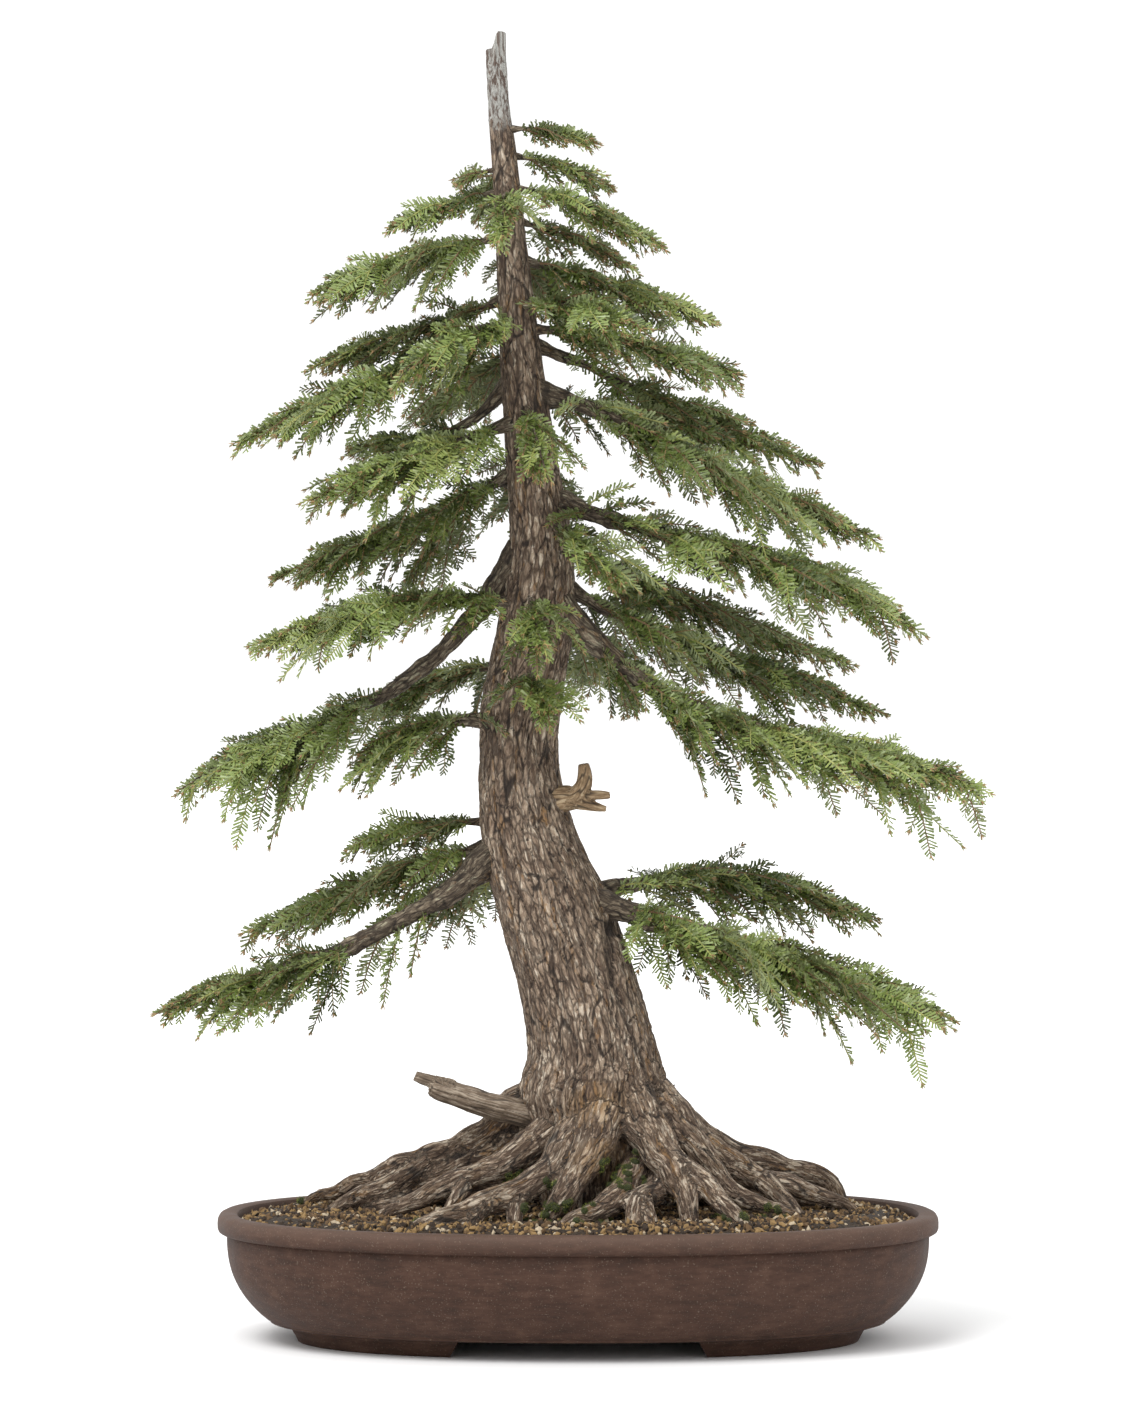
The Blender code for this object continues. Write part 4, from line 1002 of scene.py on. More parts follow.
def bark_relief(place, girth):
    """How far bark stands out there, and how deep in a fissure it is, which the finishes paint dark as
    painted shade.
    """
    bent = place + noise.noise_vector(stretched(place, GRAIN_WAVES)) * GRAIN_BEND
    near, _ = noise.voronoi(stretched(bent, PLATE))
    fissure = 1.0 - step_up(near[1] - near[0], 0.00, FISSURE_WIDTH)
    near, middles = noise.voronoi(stretched(bent, FLAKE))
    flake_edge = 1.0 - step_up(near[1] - near[0], 0.00, FLAKE_EDGE_WIDTH)
    flake = noise.noise(middles[0] * 3.7)
    rib = noise.noise(stretched(place, RIB))
    fibre = noise.noise(stretched(bent, FIBRE))
    size = min(1.0, max(THIN_BARK, girth / FULL_BARK_GIRTH))
    fine = FLAKE_HEIGHT * flake + FIBRE_HEIGHT * fibre - FLAKE_EDGE_DEPTH * flake_edge
    fine -= FISSURE_DEPTH * fissure
    stands = RIB_HEIGHT * rib * size * min(1.0, girth / FULL_BARK_GIRTH) + size * fine
    return stands, max(0.5 * flake_edge, fissure)


def carve(mesh, straight, girths, relief):
    """Moves each point out or in by the relief, and stores the grain and the cracks with the mesh."""
    made = np.array([relief(place, girth) for place, girth in zip(straight, girths)], dtype=np.float32)
    co = numbers_of(mesh.vertices, "co") + numbers_of(mesh.vertex_normals, "vector") * made[:, :1]
    mesh.vertices.foreach_set("co", co.ravel())
    store(mesh, "grain", np.array(straight, dtype=np.float32))
    store(mesh, "crack", made[:, 1])
    mesh.update()


def oval_mark(co, mark):
    """How far from the middle of an oval mark on the front, squared: 1 at its edge."""
    x, z, half_width, half_height = mark
    return ((co[:, 0] - x) / half_width) ** 2 + ((co[:, 2] - z) / half_height) ** 2


def hollow_out(mesh):
    """Sinks the flute and the hollow into the trunk's front, paints them dark as painted shade, and marks
    where the wood is golden.
    """
    co = numbers_of(mesh.vertices, "co")
    heights, across, half_widths = (np.array(column) for column in zip(*FLUTE[::-1]))
    aside = np.abs(co[:, 0] - np.interp(co[:, 2], heights, across))
    aside /= np.interp(co[:, 2], heights, half_widths)
    within = (co[:, 2] > heights[0]) & (co[:, 2] < heights[-1])
    sunk = np.where(within, np.clip(1.0 - aside * aside, 0.0, 1.0), 0.0)
    hollow = np.clip(1.2 - oval_mark(co, HOLLOW), 0.0, 1.0)
    front = np.clip(-co[:, 1] / FRONT_DEPTH, 0.0, 1.0)
    deep = np.maximum(sunk * FLUTE_SHARE, hollow) * front
    out = numbers_of(mesh.vertex_normals, "vector")
    mesh.vertices.foreach_set("co", (co - out * deep[:, None] * FLUTE_DEPTH).ravel())
    # The flute and the hollow join the cracks that the finish paints dark: painted shade in the recess.
    crack_shades = mesh.attributes["crack"].data
    darker = np.maximum(numbers_of(crack_shades, "value", 1), deep * 0.95)
    crack_shades.foreach_set("value", darker.astype(np.float32))
    golden = [np.clip(1.0 - oval_mark(co, mark), 0.0, 1.0) * front for mark in GOLDEN]
    store(mesh, "golden", np.max(golden, axis=0))
    mesh.update()


def split_at(mesh, height, side, name):
    """The closed part of the mesh above (1) or below (-1) that height."""
    bm = bmesh.new()
    bm.from_mesh(mesh)
    geom = [*bm.verts, *bm.edges, *bm.faces]
    cut = bmesh.ops.bisect_plane(
        bm, geom=geom, dist=1e-6, plane_co=(0, 0, height), plane_no=(0, 0, -side), clear_outer=True
    )["geom_cut"]
    rim = [item for item in cut if isinstance(item, bmesh.types.BMEdge)]
    caps = bmesh.ops.holes_fill(bm, edges=rim, sides=0)["faces"]
    for face in bm.faces:
        face.smooth = True
    for face in caps:
        face.smooth = False
        for edge in face.edges:
            edge.smooth = False
    return mesh_of(bm, name)


def bark_finish(name, shadow, middle, light, flake_light, gold=0.5, dead=None):
    """Flaking bark: cracks, fissure lines and flake edges painted dark as painted shade, brown plates with
    paler flakes, golden streaks, dead wood above.
    """
    bark = Finish(name, roughness=0.9)
    grain_way = bark.place(attribute="grain")
    wavy = {"Vector": bark.place((1, 1, 0.5), "grain"), "Scale": 90.0, "Detail": 3.0}
    waves = bark.node("TexNoise", None, wavy, "Color")
    bend = {0: waves, 1: (0.007, 0.007, 0.012), 2: grain_way}
    bent = bark.node("VectorMath", {"operation": "MULTIPLY_ADD"}, bend)
    along = bark.node("Mapping", None, {"Vector": bent, "Scale": (1.0, 1.0, 0.30)})
    far_along = bark.node("Mapping", None, {"Vector": bent, "Scale": (1.0, 1.0, 0.10)})
    crack = bark.stored("crack")
    flake = bark.axis(bark.cells(along, 0.0042, output="Color"), 0)
    flake_edge = bark.clear(bark.cells(along, 0.0042, "DISTANCE_TO_EDGE"), 0.02, 0.16)
    chip = bark.axis(bark.cells(along, 0.0021, output="Color"), 0)
    strands = bark.noise(far_along, 0.0022, 5.0, 0.70)
    blotch = bark.noise(grain_way, 0.026, 4.0, 0.6)
    dust = bark.noise(along, 0.0011, 3.0, 0.7)
    height_up = bark.axis(bark.place(), 2)
    low = 1 - bark.clear(height_up, 0.125, 0.225)
    tone = flake * 0.10 + chip * 0.18 + strands * 0.66 + blotch * 0.30 + dust * 0.42
    tone = tone + (tone - 0.84) * low * 0.85 - low * 0.02
    colour = bark.ramp(tone, (0.66, shadow), (0.80, middle), (0.93, light), (1.06, flake_light))
    colour = bark.mix(low * bark.clear(blotch, 0.45, 0.70) * 0.40, colour, (0.150, 0.086, 0.034))
    # Long thin dark lines in the shadow colour: the fissures' painted shade.
    lines = bark.clear(bark.noise(far_along, 0.0036, 3.0, 0.6), 0.53, 0.58)
    colour = bark.mix(lines * 0.72, colour, shadow)
    streaks = bark.clear(bark.noise(far_along, 0.0070, 3.0, 0.6), 0.56, 0.64)
    colour = bark.mix(streaks * bark.clear(crack, 0.10, 0.5) * gold, colour, (0.360, 0.190, 0.062))
    golden = bark.stored("golden")
    colour = bark.mix(golden * bark.clear(strands, 0.40, 0.60) * 0.75, colour, (0.330, 0.195, 0.080))
    # The flakes' edges are painted dark: painted shade in the gaps between the flakes.
    colour = bark.mix((1 - flake_edge) * (0.62 - low * 0.34), colour, (0.034, 0.022, 0.015))
    # The cracks, the flute and the hollow are painted near black: painted shade in the recesses.
    colour = bark.mix(bark.clear(crack, 0.42, 0.95) * 0.88, colour, (0.018, 0.012, 0.009))
    if dead:
        silver = bark.ramp(bark.noise(along, 0.0024, 3.0, 0.6, 0.8), (0.42, dead[0]), (0.56, dead[1]))
        bare = bark.clear(height_up + bark.noise(grain_way, 0.012) * 0.030, 0.918, 0.934)
        colour = bark.mix(bare, colour, silver)
    bark.paint(colour)
    bark.bump(flake_edge * 0.40 + flake * 0.30 + strands * 0.9 + chip * 0.22 + dust * 0.30, 0.0024, 1.0)
    return bark


noise.seed_set(GRAIN_SEED)
trunk_skin, marks = one_skin(skin_limbs(), SKIN_VOXEL)
bm = bmesh.new()
bm.from_mesh(trunk_skin)
creases = [vert for vert in bm.verts if vert.co.z < CREASES_BELOW]
every_way = {"use_axis_x": True, "use_axis_y": True, "use_axis_z": True}
for _ in range(CREASE_SMOOTHING):
    bmesh.ops.smooth_vert(bm, verts=creases, factor=0.5, **every_way)
for vert in bm.verts:
    if vert.co.z > BREAK_LOW - 0.004:
        raised = step_up(vert.co.x - trunk_centre(vert.co.z).x, *BREAK_SLANT)
        vert.co.z += (BREAK_HIGH - BREAK_LOW) * raised * step_up(vert.co.z, *BREAK_BLEND)
bm.to_mesh(trunk_skin)
bm.free()
trunk_marks = TRUNK_SIDES * (round((BREAK_LOW - TRUNK_LINE[0][0] + TRUNK_SINK) / TRUNK_STEP) + 1)
carve(trunk_skin, *along_the_grain(trunk_skin, marks, trunk_marks), bark_relief)
hollow_out(trunk_skin)
bark = bark_finish(
    "trunk_bark",
    (0.085, 0.053, 0.034),
    (0.245, 0.174, 0.120),
    (0.390, 0.300, 0.218),
    (0.600, 0.510, 0.400),
    dead=((0.120, 0.084, 0.066), (0.400, 0.395, 0.365)),
)
put("trunk_bark", split_at(trunk_skin, SKIN_SPLIT, 1, "trunk_bark"), [bark], "bark", ["trunk"])
root_bark = put("root_bark", split_at(trunk_skin, SKIN_SPLIT, -1, "root_bark"), [bark], "bark", ["trunk"])

# Moss: small green cushions in the hollows between the roots and along their feet. Each is a low
# lump set with short pointed leaves, and it clings to the bark or the grit that it grew on.
MOSS_PADS = (
    (0.0340, -0.0640, 0.1270, 0.0150),
    (0.0330, -0.0850, 0.1195, 0.0060),
    (-0.0330, -0.0880, 0.0990, 0.0090),
    (-0.0200, -0.0960, 0.1000, 0.0090),
    (-0.0080, -0.0980, 0.1020, 0.0085),
    (0.0060, -0.1080, 0.1060, 0.0060),
    (-0.0212, -0.0800, 0.1225, 0.0030),
    (-0.0519, -0.0470, 0.1238, 0.0040),
    (-0.0460, -0.0452, 0.1266, 0.0035),
    (0.0492, -0.0640, 0.1210, 0.0040),
    (0.1193, -0.1040, 0.1000, 0.0035),
    (0.1370, -0.0600, 0.0985, 0.0040),
    (0.1440, -0.0600, 0.1000, 0.0045),
    (0.1500, -0.0600, 0.0975, 0.0040),
    (0.1040, -0.0600, 0.0960, 0.0040),
    (0.1090, -0.1030, 0.0975, 0.0045),
    (0.0134, -0.1080, 0.0970, 0.0040),
    (-0.0005, -0.1180, 0.0965, 0.0040),
    (0.0254, -0.0900, 0.0960, 0.0040),
    (-0.2080, 0.0340, 0.0957, 0.0035),
    (-0.1200, -0.1100, 0.0960, 0.0045),
    (0.0600, 0.1000, 0.0980, 0.0090),
    (-0.0500, 0.1100, 0.0980, 0.0080),
    (0.1400, 0.0700, 0.0970, 0.0070),
    (-0.1300, 0.0900, 0.0965, 0.0070),
)
MOSS_COLOURS = (
    ("moss_shade", (0.030, 0.036, 0.010)),
    ("moss", (0.085, 0.105, 0.022)),
    ("young_moss", (0.190, 0.220, 0.042)),
)
CUSHION_RADIUS = (0.0026, 0.0044)
CUSHION_SHAPE = (0.85, 0.85, 0.75)
CUSHION_SINK = 0.25
CUSHION_PITCH = 0.0029
MOSS_LEAVES = 40
MOSS_LEAF = (0.0010, 0.0020)
MOSS_LEAF_GIRTH = 0.00022
MOSS_LEAF_FACES = ((0, 2, 1), (0, 1, 3), (1, 2, 3), (2, 0, 3))


def resting_place(aim):
    """The nearest point of the bark or of the grit's surface, and which way that faces."""
    _, place, out, _ = root_bark.closest_point_on_mesh(aim)
    ground = soil_height(aim.x, aim.y)
    if (place - aim).length < abs(aim.z - ground):
        return place, out
    return Vector((aim.x, aim.y, ground)), Vector((0.0, 0.0, 1.0))


def repeated(faces, corners, count):
    """The faces of a small shape of so many points, for each of its copies in turn."""
    return (np.arange(count)[:, None, None] * corners + np.array(faces)[None]).reshape(-1, 3)


def moss_leaves(centre, out, size):
    """Short pointed leaves all over the upper side of a cushion."""
    points = []
    for _ in range(MOSS_LEAVES):
        way = (Vector([rule.gauss(0, 1) for _ in range(3)]).normalized() + out * 0.8).normalized()
        aside = way.orthogonal().normalized() * MOSS_LEAF_GIRTH
        foot = centre + way * size * 0.8
        points += [foot + Matrix.Rotation(math.radians(turn), 3, way) @ aside for turn in (0, 120, 240)]
        points.append(foot + way * rule.uniform(*MOSS_LEAF))
    return np.array(points), repeated(MOSS_LEAF_FACES, 4, MOSS_LEAVES)


cushion = bmesh.new()
bmesh.ops.create_icosphere(cushion, subdivisions=2, radius=1.0)
lump_points, lump_faces = shape_arrays(cushion)
rule = random.Random("moss")
cushions = []
for x, y, z, radius in MOSS_PADS:
    for _ in range(max(3, round((radius / CUSHION_PITCH) ** 2))):
        aim = Vector((x, y, z)) + Vector([rule.uniform(-1, 1) for _ in range(3)]) * radius
        place, out = resting_place(aim)
        size = rule.uniform(*CUSHION_RADIUS)
        centre = place - out * size * CUSHION_SINK
        cushions.append((lump_points * size * CUSHION_SHAPE + np.array(centre), lump_faces, 0))
        cushions.append((*moss_leaves(centre, out, size), rule.choice((1, 1, 2))))
moss_finishes = [Finish(name, colour, 0.9) for name, colour in MOSS_COLOURS]
put("moss", joined("moss", cushions), moss_finishes, "soil")

# Dead wood: a snapped branch low on the left, weathered grey, and a forked golden snag half way up
# on the right. Each is bare, split along its grain and broken off square or to a point.
LOW_SNAG = (
    (-0.026, -0.008, 0.1650),
    (-0.050, -0.012, 0.1712),
    (-0.074, -0.016, 0.1780),
    (-0.098, -0.019, 0.1862),
    (-0.1085, -0.020, 0.1896),
    (-0.1110, -0.020, 0.1906),
)
LOW_SNAG_RADII = (0.0112, 0.0104, 0.0100, 0.0092, 0.0082, 0.0060)
LOW_SNAG_STUB = ((-0.094, -0.0195, 0.1892), (-0.1120, -0.020, 0.1948), (-0.1222, -0.0205, 0.1982))
LOW_SNAG_STUB_RADII = (0.0058, 0.0050, 0.0040)
FORKED_SNAG = (
    (-0.0400, 0.004, 0.4000),
    (-0.0126, 0.002, 0.4050),
    (-0.0005, -0.001, 0.4080),
    (0.0047, -0.002, 0.4195),
    (0.0040, -0.003, 0.4316),
)
FORKED_SNAG_RADII = (0.0125, 0.0105, 0.0085, 0.0062, 0.0040)
SNAG_PRONGS = (
    ((-0.006, -0.001, 0.4070), (0.010, -0.003, 0.4085), (0.0243, -0.004, 0.4082)),
    ((-0.006, -0.002, 0.4040), (0.008, -0.005, 0.4012), (0.0213, -0.007, 0.3977)),
)
PRONG_RADII = (0.0062, 0.0042, 0.0024)
SNAG_VOXEL = 0.0008
SNAG_STEP = 0.003
SPLIT = (0.0042, 0.0500)
SPLIT_WIDTH = 0.22
SPLIT_DEPTH = 0.0010
STRAND = (0.0018, 0.0240)
STRAND_HEIGHT = 0.0003
KNOB = (0.0110, 0.0150)
KNOB_HEIGHT = 0.0010
GREY_WOOD = ((0.050, 0.034, 0.022), (0.165, 0.120, 0.082), (0.420, 0.350, 0.270))
GOLDEN_WOOD = ((0.085, 0.050, 0.026), (0.270, 0.180, 0.098), (0.520, 0.410, 0.270))


def split_relief(place, girth):
    """Bare wood splits along its grain."""
    split = 1.0 - step_up(abs(noise.noise(stretched(place, SPLIT))), 0.0, SPLIT_WIDTH)
    strand = noise.noise(stretched(place, STRAND))
    knob = noise.noise(stretched(place, KNOB))
    return KNOB_HEIGHT * knob - SPLIT_DEPTH * split + STRAND_HEIGHT * strand, split


def bare_wood(name, dark, middle, light):
    """Dry wood with no bark, painted darker in its splits as painted shade."""
    wood = Finish(name, roughness=0.85)
    strands = wood.noise(wood.place((1.0, 1.0, 0.10), "grain"), 0.0020, 5.0, 0.7)
    blotch = wood.noise(wood.place(attribute="grain"), 0.012, 4.0, 0.6)
    colour = wood.ramp(strands * 0.7 + blotch * 0.3, (0.36, dark), (0.50, middle), (0.64, light))
    # The splits are painted near black: painted shade in them.
    split = wood.clear(wood.stored("crack"), 0.4, 1.0)
    wood.paint(wood.mix(split * 0.75, colour, (0.020, 0.014, 0.010)))
    wood.bump(strands, 0.0008, 0.8)
    return wood


def snag(name, lines, finish):
    """A snapped branch of one or more limbs grown into one."""
    limbs = [(ring_frames(*fine_line(points, radii, SNAG_STEP)), ROOT_SIDES) for points, radii in lines]
    skin, rings = one_skin(limbs, SNAG_VOXEL)
    carve(skin, *along_the_grain(skin, rings), split_relief)
    smooth(skin)
    put(f"{name}_wood", skin, [finish], "dead_wood", [name])


snag(
    "low_snag",
    [(LOW_SNAG, LOW_SNAG_RADII), (LOW_SNAG_STUB, LOW_SNAG_STUB_RADII)],
    bare_wood("grey_dead_wood", *GREY_WOOD),
)
snag(
    "forked_snag",
    [(FORKED_SNAG, FORKED_SNAG_RADII)] + [(prong, PRONG_RADII) for prong in SNAG_PRONGS],
    bare_wood("golden_dead_wood", *GOLDEN_WOOD),
)

# The boughs' wood: gnarled, knobbly limbs that taper from the trunk to the tip of each spray, dark
# grey-brown with green lichen. Each is one limb with swellings where side twigs leave it.
WOOD_STEP = 0.0026
WOOD_WANDER = 0.0026
WOOD_KNOBS = 0.30
WOOD_FLARE = 0.55
WOOD_GIRTH = 0.72
WOOD_FROM = 0.55
WOOD_TO = 0.94
WOOD_GRAIN_RUN = 0.71
WOOD_BARK_FINER = 1.5
WOOD_BARK_GIRTH = 1.6
WOOD_BARK_THINNER = 0.75


def wood_sides(radius):
    return 6 if radius < 0.0024 else 9 if radius < 0.0045 else 14


def bough_frames(bough, seed):
    """Ring frames of a bough's wood from inside the trunk nearly to its tip."""
    start = leaves_trunk_at(bough) * WOOD_FROM
    count = round((WOOD_TO - start) * bough.reach / WOOD_STEP)
    points, radii = [], []
    for k in range(count + 1):
        t = start + (WOOD_TO - start) * k / count
        radius = bough_radius(bough, t) * WOOD_GIRTH
        way = t * bough.reach
        swell = 1.0 + WOOD_KNOBS * noise.noise(Vector((way / 0.016, seed, 0.0)))
        swell += 0.25 * max(0.0, noise.noise(Vector((way / 0.007, seed, 9.0))))
        beyond = (t - leaves_trunk_at(bough)) * bough.reach
        swell += WOOD_FLARE * math.exp(-max(0.0, beyond) / (1.6 * bough.radius))
        sway = WOOD_WANDER * min(1.0, radius / 0.004) * step_up(way, 0.02, 0.06)
        aside = Vector([noise.noise(Vector((way / 0.030, seed, n * 3.7))) for n in (1, 2, 3)]) * sway
        points.append(bough_point(bough, t) + aside)
        radii.append(radius * swell)
    return ring_frames(points, radii)


limbs, marks = [], []
for n, bough in enumerate(BOUGHS):
    frames = bough_frames(bough, n * 1.37)
    offset = Vector((0.0, 0.0, n * WOOD_GRAIN_RUN))
    wood = bmesh.new()
    rings = grow_limb(wood, frames, wood_sides(bough.radius))
    wood.verts.index_update()
    own = [(vert.index, vert.co.copy(), mark, offset) for ring, mark in zip(rings, frames) for vert in ring]
    marks += [mark for _, *mark in sorted(own, key=lambda item: item[0])]
    bmesh.ops.recalc_face_normals(wood, faces=wood.faces)
    limbs.append((*shape_arrays(wood), 0))
wood_mesh = joined("bough_wood", limbs, rounded=True)
straight, girths = [], []
for place, (turned, way), offset in marks:
    girth = turned.col[0].length
    local = turned.inverted() @ place
    straight.append(Vector((local.x * girth, local.y * girth, way)) + offset)
    girths.append(girth)


def bough_relief(place, girth):
    """The same bark as the trunk's, but finer and thinner."""
    stands, crack = bark_relief(place * WOOD_BARK_FINER, girth * WOOD_BARK_GIRTH)
    return stands * WOOD_BARK_THINNER, crack


carve(wood_mesh, straight, girths, bough_relief)
bough_bark = bark_finish(
    "bough_bark",
    (0.046, 0.032, 0.021),
    (0.140, 0.106, 0.072),
    (0.275, 0.222, 0.155),
    (0.400, 0.370, 0.255),
    gold=0.25,
)
bough_nodes = [f"bough_{bough.name}" for bough in BOUGHS if bough.bare > 0.0]
put("bough_wood", wood_mesh, [bough_bark], "bark", bough_nodes)

# The foliage: flat drooping sprays of short blunt needles in two rows, glossy green above and pale
# below, on thin twigs that hang at their tips. A mass grows from one bough: side twigs leave it
# left and right in turn where there is room, and finer twigs leave those in the same way.
STEM_CURVE_STEP = 0.024
BLADE_PITCH = 0.0165
BLADE_ANGLE_ROOT = 78
BLADE_ANGLE_TIP = 36
BLADE_LIFT = 16
BLADE_SHAPE = 0.27
BLADE_HALF_WIDTH_MIN = 0.0085
BLADE_HALF_WIDTH_MAX = 0.0160
BLADE_ROLL = 40
BLADE_EDGE = ((0.32, 1.00), (0.50, 0.48), (0.72, 0.90))
TIP_BLADE = 0.034
TIP_BLADE_MOST = 0.40
ROOT_REACH = 0.0060
TRUNK_CLEARANCE = 0.0020
LINE_CLEARANCE = 0.0025
BLADE_CLEARANCE = 0.0042
MOST_CLEARANCE = 0.0160
TRIES = ((1.0, 1.0), (1.0, 0.35), (0.75, 0.6), (0.55, 0.4))


def bough_way(bough, t):
    """The bough's own direction there."""
    return (bough_point(bough, t + 0.01) - bough_point(bough, t - 0.01)).normalized()


def stations(bough, start, end):
    """Even shares of the bough's line between two of them."""
    count = max(2, round((end - start) * bough.reach / STEM_CURVE_STEP) + 1)
    return [start + (end - start) * k / (count - 1) for k in range(count)]


class Room:
    """What a mass keeps clear of: the trunk, the other boughs' lines and the sprays already grown."""

    def __init__(self):
        heights = np.linspace(GROUND, BREAK_HIGH, 160)
        self.trunk = np.array([trunk_centre(z) for z in heights])
        self.trunk_radii = np.array([trunk_radius(z) for z in heights])
        self.grown = {bough.name: [] for bough in BOUGHS}

    def enter(self, owner):
        """Gathers what stands round this mass."""
        self.points = []
        for bough in BOUGHS:
            if bough.name != owner.name:
                line = [(bough_point(bough, t), bough_radius(bough, t)) for t in np.linspace(0.0, 1.0, 90)]
                self.points += [(point, LINE_CLEARANCE + radius) for point, radius in line]
                self.points += [(point, BLADE_CLEARANCE) for point in self.grown[bough.name]]
        self.tree = tree_of(self.points)

    def holds(self, samples):
        """Whether every sample is clear of what was gathered and of the trunk."""
        for point in samples:
            for _, n, distance in self.tree.find_range(point, MOST_CLEARANCE):
                if distance < self.points[n][1]:
                    return False
        return self.off_trunk(samples) > TRUNK_CLEARANCE

    def off_trunk(self, samples):
        cloud = np.array(samples)
        return (np.linalg.norm(cloud[:, None] - self.trunk[None], axis=2) - self.trunk_radii).min()


def on_stem(bough, shares, t):
    """The point of the stem's middle at that share, on the straight run between its rings."""
    k = max(n for n in range(len(shares) - 1) if shares[n] <= t)
    part = (t - shares[k]) / (shares[k + 1] - shares[k])
    return bough_point(bough, shares[k]).lerp(bough_point(bough, shares[k + 1]), part)


def lie_of(way, roll):
    """The sideways direction of a spray that goes that way, rolled by that many degrees."""
    return Matrix.Rotation(math.radians(roll), 3, way) @ way.cross(Vector((0, 0, 1))).normalized()


def on_bend(line, u):
    """A point on the bend through a twig's root, middle and tip."""
    root, middle, tip = line
    bend = middle * 2 - (root + tip) / 2
    return root * (1 - u) ** 2 + bend * 2 * u * (1 - u) + tip * u * u


def blade_points(line, roll):
    """The middle and the outline of the room that a side twig's spray takes."""
    length = (line[2] - line[0]).length
    across = lie_of((line[2] - line[0]) / length, roll)
    half_width = min(BLADE_HALF_WIDTH_MAX, max(BLADE_HALF_WIDTH_MIN, BLADE_SHAPE * length))
    round_it = [*BLADE_EDGE, (1, 0), *((u, -v) for u, v in reversed(BLADE_EDGE))]
    sides = [on_bend(line, u) + across * v * half_width for u, v in round_it]
    return on_bend(line, 0.5), [on_bend(line, 0), *sides]


def samples_of(line, roll):
    """Points all over that room, but for the twig's root."""
    middle, outline = blade_points(line, roll)
    rim = []
    for k, point in enumerate(outline):
        following = outline[(k + 1) % len(outline)]
        rim += [point.lerp(following, part) for part in (0.0, 0.34, 0.67)]
    cloud = [middle.lerp(point, part) for point in rim for part in (0.25, 0.5, 0.75, 1.0)]
    return [point for point in cloud if (point - line[0]).length > ROOT_REACH]


def spread_at(bough, u):
    """How far side sprays may reach at that share of the mass: longest a little past its middle."""
    return bough.spread * (0.70 + 1.20 * u) * (1 - 0.80 * u * u)


def side_twigs(bough, shares, room):
    """The side twigs of a mass, left and right in turn, each arching out and hanging at its tip."""
    rule = random.Random(bough.name)
    room.enter(bough)
    start, end = max(shares[0], leaves_trunk_at(bough)), shares[-1]
    count = max(4, round((end - start) * bough.reach / BLADE_PITCH))
    twigs = []
    for k in range(count):
        u = (k + 0.35 + 0.3 * rule.random()) / count
        t = start + (end - start) * (0.03 + 0.94 * u)
        along = bough_way(bough, t)
        level = Vector((along.x, along.y, 0.0)).normalized()
        side = 1 if k % 2 == 0 else -1
        angle = BLADE_ANGLE_ROOT + (BLADE_ANGLE_TIP - BLADE_ANGLE_ROOT) * u + rule.uniform(-8, 8)
        way = Matrix.Rotation(math.radians(side * angle), 3, "Z") @ level
        length = spread_at(bough, u) * rule.uniform(0.88, 1.12)
        lift = math.radians(BLADE_LIFT * (1 - u) + rule.uniform(-12, 12))
        fall = bough.weep * rule.uniform(0.5, 1.25) * (1 - 0.5 * u)
        roll = rule.choice((-1, 1)) * rule.uniform(0.3, 1.2) * BLADE_ROLL
        root = on_stem(bough, shares, t)
        for length_share, fall_share in TRIES:
            reach = length * length_share
            line = []
            for s in (0.0, 0.5, 1.0):
                rise = reach * (s * (math.sin(lift) + 0.5 * along.z) - fall * fall_share * s * s)
                line.append(root + way * reach * s * math.cos(lift) + Vector((0, 0, rise)))
            samples = samples_of(line, roll)
            if room.holds(samples):
                twigs.append(line)
                room.grown[bough.name] += samples
                break
    return twigs


def tip_share(bough):
    """Where the last spray takes over from the stem."""
    return 1.0 - min(TIP_BLADE / bough.reach, TIP_BLADE_MOST)


# The shoots of a mass: each side twig leads a flat spray, with finer shoots left and right along it
# and finer ones again on those. Between them, lighter sprays hang under the stem and lie over it.
LEAD_POINTS = 6
FINE_POINTS = 4
LEAD_GIRTH = 0.00100
FINE_GIRTH = 0.00062
FINE_PITCH = 0.0088
FINE_SHARE = 0.50
FINE_SPAN = (0.07, 0.70)
FINE_REACH = (0.0100, 0.0340)
FINE_ANGLE = (26, 44)
FINE_WEEP = (0.04, 0.28)
FINE_LIFT = 0.26
FINE_ROLL = 28
FINEST_FROM = 0.0260
FINEST_PITCH = 0.0092
FINEST_SHARE = 0.42
BETWEEN_PITCH = 0.0125
BETWEEN_SHARE = (0.45, 0.90)
BETWEEN_OUT = (20, 48)
BETWEEN_TURN = (-35, 35)
BETWEEN_SAG = (0.15, 0.50)
UNDER_PITCH = 0.0125
UNDER_REACH = (0.0320, 0.0540)
UNDER_OUT = (16, 40)
UNDER_TURN = (-70, 70)
UNDER_SAG = (0.10, 0.38)
COVER_PITCH = 0.0066
COVER_REACH = (0.0300, 0.0560)
COVER_OUT = (8, 27)
COVER_TURN = (-52, 40)
COVER_SAG = (0.05, 0.26)
COVER_EARLY = 0.10
LONG_BARE = 0.28
COVER_OVER = 0.10
OVER_TURN = (-60, 60)
SLENDER_FROM = 0.50
SLENDER_LOSS = 0.66
SWING = 0.55
SWING_LIFT = 0.20
STEM_TIP_SHARE = 0.30
PENDANT_ALONG = 0.35
PENDANT_ASIDE = 0.42
PENDANT_DOWN = 0.40
PENDANT_REACH = 0.72
PENDANT_SAG = 0.42
PENDANT_SHARE = 0.36
SPRIG_SAG = 0.30
SPRAY_ROLL = (12, 54)
NEEDLE_MARGIN = 0.0035
STEM_NEEDLES_FROM = 0.45
SHOOTS_TO = 0.94
SHOOT_CLEARANCE = 0.0015
